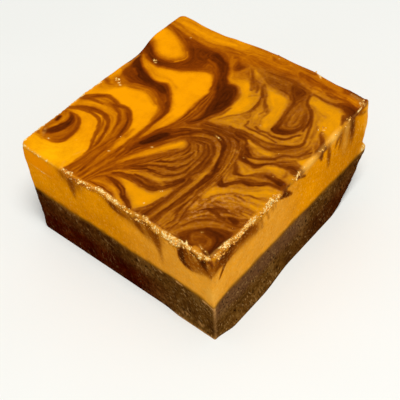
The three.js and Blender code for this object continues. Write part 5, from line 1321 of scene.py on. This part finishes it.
def make_chocolate():
    """The plain layer under it, down to the flat base."""
    cells = 4 * SIDE_CELLS
    shell = bmesh.new()
    bmesh.ops.create_circle(shell, segments=cells, radius=1, cap_ends=False)
    rim = list(shell.edges)
    rows = len(CHOCOLATE_SHARES) - 1
    base = drop_rim(shell, rim, rows + len(BASE_RINGS))
    close_rim(shell, rim)
    close_rim(shell, base)
    for edge in rim:
        edge.smooth = False
    piece, (circle_x, circle_y, row) = finish_mesh(shell, "plain_fudge")
    hub = np.hypot(circle_x, circle_y) < 0.5
    step = np.rint(np.arctan2(circle_y, circle_x) / (2 * math.pi) * cells).astype(int) % cells
    side, f = step // SIDE_CELLS, 2 * (step % SIDE_CELLS) / SIDE_CELLS - 1
    one = np.ones_like(f)
    s = np.choose(side, [f, one, -f, -one])
    t = np.choose(side, [-one, f, one, -f])
    row = np.rint(-row).astype(int)
    seam_x, seam_y, seam_z = seam_points(s, t)
    z = seam_z * CHOCOLATE_SHARES[np.minimum(row, rows)]
    x, y = plan(s, t, z)
    around = x * np.abs(outward(t)) + y * np.abs(outward(s)) + 60 * side
    grain = ripples(around, z, (0.09, 0.8, 61), (0.07, 2.1, 62), (0.04, 4.4, 63))
    pits = ramp(0.45, 0.85, waves(1.25 * around, 1.25 * z, 64))
    pits = pits * ramp(0.1, 0.5, waves(0.22 * around, 0.3 * z, 65))
    grain = (grain - 0.2 * pits) * ramp(0, 1.2, seam_z - z) * ramp(0, 0.5, z)
    x, y = x + grain * outward(s), y + grain * outward(t)
    last = row == 0
    x[last], y[last] = seam_x[last], seam_y[last]
    inner = np.array([1.0] + BASE_RINGS)[np.clip(row - rows, 0, len(BASE_RINGS))]
    x, y = x * inner, y * inner
    x[hub], y[hub] = 0, 0
    z[hub & (row == 0)] = layer_line(0.0, 0.0)
    place_points(piece, x, y, z)
    # painted shade: near, far, left and back say how much of a shaded copy of the chocolate the deep
    # attribute mixes in, most low on the front towards the left and low on the right cut towards its far end
    low = ramp(9.5, 4.5, z)
    front, right = t < -ON_CUT, s > ON_CUT
    near = mix(0.66 * ramp(22, -22, x), ramp(19, 4, x), low)
    far = mix(0.42 * ramp(4, 24, y), 0.8 * ramp(-8, 19, y), low)
    left = mix(0.35, mix(0.66, 1.0, low), ramp(4, -26, y))
    back = mix(0.35, mix(0.42, 0.8, low), ramp(-4, 26, x))
    # hollow marks the small holes; the material paints shade into them
    hollow = np.zeros_like(x)
    for face, at, long, places in ((front, x, 1.4, FRONT_HOLLOWS), (right, y, 1.2, RIGHT_HOLLOWS)):
        for middle, height, size in places:
            hollow = np.maximum(hollow, face * spot((at - middle) / long, z - height, size))
    paint(
        piece,
        smear=ramp(0.9, 0, seam_z - z + 0.35 * waves(0.7 * around, 0 * z + 3.5, 66)),
        milky=np.where(right, ramp(4.5, 8.5, z) * ramp(8, 0, y), 0),
        rim=chocolate_rim(x, y, z, seam_z, front),
        hollow=hollow,
        # painted shade, mixed in by the material
        deep=np.select([right, front, s < -ON_CUT], [far, near, left], back),
    )
    return piece


def make_crumbs(pale):
    """Loose crumbs left along the torn edges and on the top."""
    draw = np.random.default_rng(17)
    clumps = [(-11.2, -25.7, 0.4, 0.2, 8), (-6, -25.9, 2, 0.15, 16), (-3.3, -25.4, 0.3, 0.3, 9),
        (-0.5, -25.6, 0.6, 0.15, 9), (4, -26, 2, 0.2, 10), (8.8, -25.4, 0.4, 0.2, 8),
        (12, -26, 0.8, 0.15, 10), (15, -26, 1.2, 0.15, 12), (17.4, -25.8, 0.2, 0.2, 7),
        (21, -25.9, 0.8, 0.2, 14), (23.3, -25.8, 0.5, 0.3, 14), (24.8, -24, 0.3, 0.6, 8),
        (24.9, -21.4, 0.25, 0.7, 12), (25, -17.8, 0.15, 0.7, 8), (24.9, -14.6, 0.3, 0.9, 34),
        (25, -11.4, 0.15, 0.6, 6), (25, -8.6, 0.3, 1.2, 34), (25, -5.2, 0.1, 0.2, 5),
        (24.9, 0.4, 0.2, 0.8, 12), (24.9, 8.6, 0.2, 1.2, 8), (22.1, 13.5, 0.4, 0.4, 9),
        (24.8, 16, 0.2, 4, 12), (24.4, 25, 0.4, 0.6, 10), (24.7, 22.8, 0.2, 0.7, 9),
        (24.8, 18.6, 0.15, 0.5, 7), (-25.4, -21, 0.1, 2, 8), (-25.3, -10, 0.1, 5, 9),
        (-20.4, 10.2, 0.35, 0.2, 9), (-22.2, 0.2, 0.6, 0.3, 12), (11.8, 26.3, 0.5, 0.2, 12),
        (2, -6, 14, 11, 9)]
    spots = []
    for x, y, wide, deep, count in clumps:
        for _ in range(count):
            spots.append((draw.normal(x, wide), draw.normal(y, deep)))
    for _ in range(STRAY_CRUMBS):
        x, y = draw.uniform(-13.5, 24.5), draw.uniform(-25, -5)
        if waves(np.array([0.45 * x]), np.array([3.3]), 18)[0] > draw.uniform(-0.5, 0.6):
            spots.append((x, draw.normal(-26, 0.16)))
        if pale.read(np.array([25.0]), np.array([y]))[0] > draw.uniform(0.2, 0.9):
            spots.append((draw.normal(25, 0.2), y))
    at = np.clip(np.array(spots) / (WIDTH / 2, DEPTH / 2), -1, 1)
    x, y, z = top_points(at[:, 0], at[:, 1], pale)
    on_wall = np.abs(at).max(1) > ON_CUT
    z = z - np.where(on_wall, draw.uniform(0, 0.5, len(z)), 0)
    shell = bmesh.new()
    chip = np.hypot(x - 11.8, y - 26.3) < 0.9
    for cx, cy, cz, big in zip(x, y, z + 0.3 * chip, chip):
        size = CRUMB_SIZE * CRUMB_SPAN ** (draw.uniform() ** 2) * (1.6 if big else 1.0)
        turn = Matrix.Rotation(draw.uniform(0, math.pi), 4, Vector(draw.normal(size=3)))
        shape = Matrix.Diagonal((size * draw.uniform(0.9, 1.8), size, size * draw.uniform(0.35, 0.7), 1))
        place = Matrix.Translation((cx, cy, cz)) @ turn @ shape
        bmesh.ops.create_icosphere(shell, subdivisions=2 if size > 0.18 else 1, radius=1, matrix=place)
    piece, (x, y, z) = finish_mesh(shell, "crumbs")
    knock = [0.06 * waves(9 * x + 7 * z, 9 * y + 4 * z, seed) for seed in (71, 72, 73)]
    place_points(piece, x + knock[0], y + knock[1], z + knock[2])
    return piece


# ---------------------------------------------------------------- materials


def srgb(red, green, blue):
    """A colour given as on a screen, 0 to 255, as the shader wants it."""
    parts = [v / 255 for v in (red, green, blue)]
    return tuple(v / 12.92 if v <= 0.04045 else ((v + 0.055) / 1.055) ** 2.4 for v in parts) + (1,)


class Wire:
    """A number in a material, so that sums on it can be written as sums."""

    def __init__(self, finish, socket):
        self.finish, self.socket = finish, socket

    def sum(self, operation, *parts):
        return self.finish.number("ShaderNodeMath", {"operation": operation}, *parts)

    def __add__(self, other):
        return self.sum("ADD", self, other)

    def __sub__(self, other):
        return self.sum("SUBTRACT", self, other)

    def __mul__(self, other):
        return self.sum("MULTIPLY", self, other)

    def __rsub__(self, other):
        return self.sum("SUBTRACT", other, self)

    __radd__, __rmul__ = __add__, __mul__

    def clear(self):
        """Held between 0 and 1."""
        return self.finish.number("ShaderNodeClamp", {}, self)


class Finish:
    """A material and the nodes in it."""

    def __init__(self, name):
        self.material = bpy.data.materials.new(name)
        self.material.use_nodes = True
        self.tree = self.material.node_tree
        self.shader = self.tree.nodes["Principled BSDF"]

    def node(self, kind, settings, *parts, out=0, **named):
        """A new node with its settings, its inputs joined in order or by name; returns one output."""
        made = self.tree.nodes.new(kind)
        for key, value in settings.items():
            if key == "stops":
                self.set_stops(made.color_ramp, value)
            else:
                setattr(made, key, value)
        for key, value in list(enumerate(parts)) + list(named.items()):
            self.join(value, made.inputs[key.replace("_", " ") if isinstance(key, str) else key])
        return made.outputs[out]

    def colours(self, value, stops):
        """A colour for a number; each stop is a place from 0 to 1 and a colour as on a screen."""
        stops = [(place, srgb(*colour)) for place, *colour in stops]
        return self.node("ShaderNodeValToRGB", {"stops": stops}, value)

    def set_stops(self, band, stops):
        while len(band.elements) < len(stops):
            band.elements.new(0.5)
        for element, (place, colour) in zip(band.elements, stops):
            element.position = place
            element.color = colour

    def number(self, kind, settings, *parts, **named):
        """A new node whose output is a number to do sums on."""
        return Wire(self, self.node(kind, settings, *parts, **named))

    def join(self, value, socket):
        """Links a socket to another node's output, or sets it to a plain value."""
        if isinstance(value, Wire):
            value = value.socket
        if isinstance(value, bpy.types.NodeSocket):
            self.tree.links.new(value, socket)
        else:
            socket.default_value = value

    def set(self, **sockets):
        for name, value in sockets.items():
            self.join(value, self.shader.inputs[name.replace("_", " ")])

    def painted(self, name):
        return self.number("ShaderNodeAttribute", {"attribute_name": name}, out="Fac")

    def places(self, stretch=(1, 1, 1), turn=(0, 0, 0)):
        """Object coordinates in millimetres, turned and stretched."""
        here = self.node("ShaderNodeTexCoord", {}, out="Object")
        here = self.node("ShaderNodeMapping", {}, here, Rotation=turn)
        scale = tuple(1000 * k for k in stretch)
        return self.node("ShaderNodeMapping", {}, here, Scale=scale)

    def grain(self, size, detail=2.0, stretch=(1, 1, 1), turn=(0, 0, 0)):
        """Noise from 0 to 1 with lumps of this size in millimetres."""
        here = self.places(stretch, turn)
        return self.number("ShaderNodeTexNoise", {}, Vector=here, Scale=1 / size, Detail=detail, out="Fac")

    def blend(self, share, one, other):
        """One colour turned into another by a share."""
        made = self.tree.nodes.new("ShaderNodeMix")
        made.data_type = "RGBA"
        self.join(share, made.inputs[0])
        self.join(one, made.inputs[6])
        self.join(other, made.inputs[7])
        return made.outputs[2]

    def between(self, share, low, high):
        """A number that runs from low to high as the share runs from 0 to 1."""
        return share * (high - low) + low

    def step(self, value, low, high):
        """0 below low, 1 above high, smooth between."""
        smooth = {"interpolation_type": "SMOOTHSTEP"}
        return self.number("ShaderNodeMapRange", smooth, value, low, high, 0.0, 1.0)


def marbled_finish():
    """Orange fudge whose cocoa level follows the painted swirls."""
    finish = Finish("marbled orange fudge")
    cocoa, crumble, cut = map(finish.painted, ("cocoa", "crumble", "cut"))
    rust, haze, smear, milk = map(finish.painted, ("rust", "haze", "smear", "milk"))
    mottle, fine = finish.grain(1.1, 3.0), finish.grain(0.35, 3.0)
    cloudy = (finish.grain(4.5, 2.0) - 0.47) * 0.26 * (1 - cocoa)
    level = (cocoa + cloudy + (mottle - 0.5) * 0.1 + (fine - 0.5) * 0.09).clear()
    olive = finish.colours(level, [
        (0.0, 243, 156, 0), (0.1, 226, 146, 2), (0.2, 205, 131, 7), (0.32, 184, 112, 12),
        (0.45, 158, 88, 8), (0.6, 128, 62, 3), (0.76, 98, 40, 2), (1.0, 52, 15, 1)])
    red = finish.colours(level, [
        (0.0, 246, 157, 0), (0.14, 220, 134, 1), (0.3, 187, 104, 1), (0.45, 160, 80, 1),
        (0.62, 128, 55, 1), (0.8, 92, 35, 1), (1.0, 56, 18, 1)])
    colour = finish.blend(rust, olive, red)
    clots = finish.step(finish.grain(0.7, 3.0) + milk * 0.04, 0.5, 0.66)
    clots = clots * finish.step(cocoa, 0.1, 0.24) * finish.step(cocoa, 0.7, 0.45)
    colour = finish.blend(clots * (milk * 0.3 + 0.08 - rust * 0.08).clear(), colour, srgb(218, 152, 84))
    colour = finish.blend((haze * (1 - level * 5)).clear() * (1 - cut), colour, srgb(255, 180, 4))
    tired = finish.colours(level, [
        (0.0, 245, 154, 0), (0.15, 216, 131, 1), (0.3, 180, 103, 4), (0.45, 152, 80, 7),
        (0.64, 124, 60, 6), (0.82, 92, 40, 5), (1.0, 58, 22, 2)])
    hazy = (haze * (1.1 - level * 2.4)).clear() * finish.between(mottle, 0.0, 0.46)
    tired = finish.blend(hazy, tired, srgb(252, 196, 92))
    ticks = finish.grain(0.4, 3.0, (1.0, 1.0, 0.6), (0.0, 0.5, 0.0))
    tired = finish.blend(finish.step(ticks, 0.54, 0.72) * 0.32, tired, srgb(255, 196, 96))
    tired = finish.blend(finish.step(ticks, 0.46, 0.29) * 0.24, tired, srgb(150, 76, 3))
    tired = finish.blend(smear, tired, srgb(120, 76, 10))
    tired = finish.blend(finish.painted("glow") * 0.85, tired, srgb(255, 150, 0))
    colour = finish.blend(cut, colour, tired)
    patchy = finish.between(mottle, 0.4, 1.3)
    # painted highlights from the bright attribute
    colour = finish.blend((finish.painted("bright") * patchy).clear(), colour, srgb(254, 190, 78))
    # pale map: a soft cream blend for painted highlights and round the crumbs; where strong, torn crumb
    # colours whose near-white end is painted glints
    colour = finish.blend((crumble * patchy).clear(), colour, srgb(244, 174, 66))
    torn = finish.step(crumble * 1.2 + (fine - 0.5) * 1.1 + (mottle - 0.5) * 1.1, 0.4, 0.74)
    torn = torn * finish.step(crumble, 0.12, 0.35)
    pale = finish.blend(finish.step(fine, 0.4, 0.64), srgb(240, 172, 66), srgb(255, 232, 162))
    colour = finish.blend(torn, colour, pale)
    skin = finish.grain(0.5, 3.0)
    lumps = (skin * 0.4 + finish.grain(1.6, 2.0) * 0.6) * (1 - cut) + ticks * cut + fine * crumble * 4.0
    bump = finish.node("ShaderNodeBump", {}, Strength=0.4, Distance=0.0001, Height=lumps)
    dull = cut * 0.22 + crumble * 0.3 + finish.between(finish.grain(3.0), 0.3, 0.42)
    finish.set(Base_Color=colour, Normal=bump, Specular_IOR_Level=0.0, Roughness=dull.clear())
    finish.set(Coat_Weight=(0.05 - cut * 0.05).clear(), Coat_Roughness=0.3)
    return finish.material


def chocolate_finish():
    """Dull grainy chocolate fudge, with lighter flecks, a haze of orange by the seam, and painted shade
    mixed in where the deep attribute asks.
    """
    finish = Finish("plain chocolate fudge")
    smear, deep, rim, milky = map(finish.painted, ("smear", "deep", "rim", "milky"))
    cloud, grain, fine = finish.grain(5.0, 3.0), finish.grain(0.9, 4.0), finish.grain(0.22, 3.0)
    tone = grain * 0.3 + cloud * 0.5 + fine * 0.2
    colour = finish.colours(tone, [
        (0.36, 64, 34, 8), (0.5, 94, 58, 15), (0.64, 126, 88, 38)])
    # painted shade: dark is a shaded copy of the chocolate colours, mixed in by the deep attribute
    dark = finish.colours(tone, [
        (0.36, 42, 2, 0), (0.52, 64, 13, 0), (0.68, 96, 42, 6)])
    colour = finish.blend(deep, finish.blend(milky * 0.5, colour, srgb(118, 80, 54)), dark)
    ticks = finish.grain(0.36, 2.0, (1.0, 1.0, 0.4), (0.0, 0.5, 0.0))
    colour = finish.blend(finish.step(ticks, 0.56, 0.74) * (0.54 - deep * 0.44), colour, srgb(146, 106, 56))
    colour = finish.blend(finish.step(ticks, 0.45, 0.28) * 0.6, colour, srgb(36, 12, 3))
    flecks = finish.step(finish.grain(0.45, 3.0, (1.0, 1.0, 0.5), (0.0, 0.5, 0.0)), 0.56, 0.67)
    flecks = flecks * finish.step(finish.grain(3.2, 2.0), 0.42, 0.58)
    colour = finish.blend(flecks * (0.66 - deep * 0.5), colour, srgb(172, 132, 78))
    # painted shade in the pits and in the small holes marked by the hollow attribute
    pits = finish.step(finish.grain(0.7, 1.0, (1.3, 1.3, 1.0)), 0.37, 0.29)
    pits = pits * finish.step(finish.grain(5.0, 2.0), 0.4, 0.58)
    pits = (pits + finish.painted("hollow") * finish.between(fine, 0.6, 1.8)).clear()
    colour = finish.blend(pits * 0.85, colour, srgb(28, 8, 1))
    colour = finish.blend(smear * 0.5, colour, srgb(150, 96, 20))
    colour = finish.blend((rim * finish.between(fine, -0.4, 2.4)).clear(), colour, srgb(206, 150, 84))
    height = ticks * 0.7 + fine * 0.3 - pits * 0.8
    bump = finish.node("ShaderNodeBump", {}, Strength=0.9, Distance=0.00022, Height=height)
    dull = finish.between(cloud, 0.5, 0.68).clear()
    finish.set(Base_Color=colour, Normal=bump, Specular_IOR_Level=0.0, Roughness=dull)
    return finish.material


def crumb_finish():
    """Loose crumbs, paler than the fudge they came from."""
    finish = Finish("pale crumbs")
    tone = finish.grain(0.45, 2.0)
    # the palest, near-white stops also stand in for glints on the crumbs
    colour = finish.colours(tone, [
        (0.38, 206, 128, 30), (0.47, 238, 172, 64), (0.55, 254, 206, 106), (0.68, 255, 236, 172)])
    bump = finish.node("ShaderNodeBump", {}, Strength=0.4, Distance=0.0001, Height=finish.grain(0.15, 2.0))
    dull = finish.between(tone, 0.3, 0.5)
    finish.set(Base_Color=colour, Normal=bump, Specular_IOR_Level=0.2, Roughness=dull)
    return finish.material


def floor_finish():
    """A plain pale table top."""
    finish = Finish("pale floor")
    tone = finish.grain(60.0, 2.0)
    finish.set(Base_Color=finish.blend(tone, srgb(240, 241, 236), srgb(246, 247, 243)), Roughness=0.55)
    return finish.material


# ---------------------------------------------------------------- view and light

AZIMUTH = 42.62
ELEVATION = 48.11
ROLL = -4.2
DISTANCE = 186.8
AIM = (6.24, -7.40, 12.65)
LENS = 80.0
SENSOR = 36.0
CLIP_START = 0.01
FLOOR_REACH = 1.5


def place_camera():
    """The camera looks down on the near corner, a little tilted."""
    camera = bpy.data.objects.new("camera", bpy.data.cameras.new("camera"))
    bpy.context.collection.objects.link(camera)
    camera.data.lens = LENS
    camera.data.sensor_width = SENSOR
    camera.data.clip_start = CLIP_START
    turn = Matrix.Rotation(math.radians(AZIMUTH), 4, "Z")
    turn = turn @ Matrix.Rotation(math.radians(90 - ELEVATION), 4, "X")
    aim = Vector((AIM[0], AIM[1] + CENTRE_Y, AIM[2])) * MM
    back = turn @ Vector((0, 0, DISTANCE * MM))
    camera.matrix_world = Matrix.Translation(aim + back) @ turn @ Matrix.Rotation(math.radians(ROLL), 4, "Z")
    bpy.context.scene.camera = camera


def light(name, place, size, power, colour):
    """A round lamp that shines at the square."""
    lamp = bpy.data.lights.new(name, "AREA")
    lamp.shape = "DISK"
    lamp.size = size
    lamp.energy = power
    lamp.color = colour
    thing = bpy.data.objects.new(name, lamp)
    bpy.context.collection.objects.link(thing)
    thing.location = place
    thing.rotation_euler = (-Vector(place)).to_track_quat("-Z", "Y").to_euler()


def set_stage():
    """A floor, one soft lamp and an even sky."""
    shell = bmesh.new()
    bmesh.ops.create_grid(shell, x_segments=8, y_segments=8, size=FLOOR_REACH)
    mesh = bpy.data.meshes.new("floor")
    shell.to_mesh(mesh)
    shell.free()
    floor = bpy.data.objects.new("floor", mesh)
    bpy.context.collection.objects.link(floor)
    floor.data.materials.append(floor_finish())
    light("key", place=(0.3, -0.18, 1.04), size=0.5, power=9.6, colour=(1, 0.99, 0.97))
    world = bpy.data.worlds.new("studio")
    world.use_nodes = True
    sky = world.node_tree.nodes["Background"]
    sky.inputs["Color"].default_value = (0.96, 0.97, 1, 1)
    sky.inputs["Strength"].default_value = 0.36
    bpy.context.scene.world = world
    bpy.context.scene.view_settings.view_transform = "Standard"


# ---------------------------------------------------------------- the square

place_camera()
set_stage()
pale = draw_crumble_and_highlights()
sides = (draw_front(), draw_right(), draw_left(), draw_back())
orange = make_orange(draw_top(), pale, sides)
orange.data.materials.append(marbled_finish())
chocolate = make_chocolate()
chocolate.data.materials.append(chocolate_finish())
crumbs = make_crumbs(pale)
crumbs.data.materials.append(crumb_finish())

for piece in (orange, chocolate, crumbs):
    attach(piece, "root")
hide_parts("orange_layer")
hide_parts("chocolate_layer")
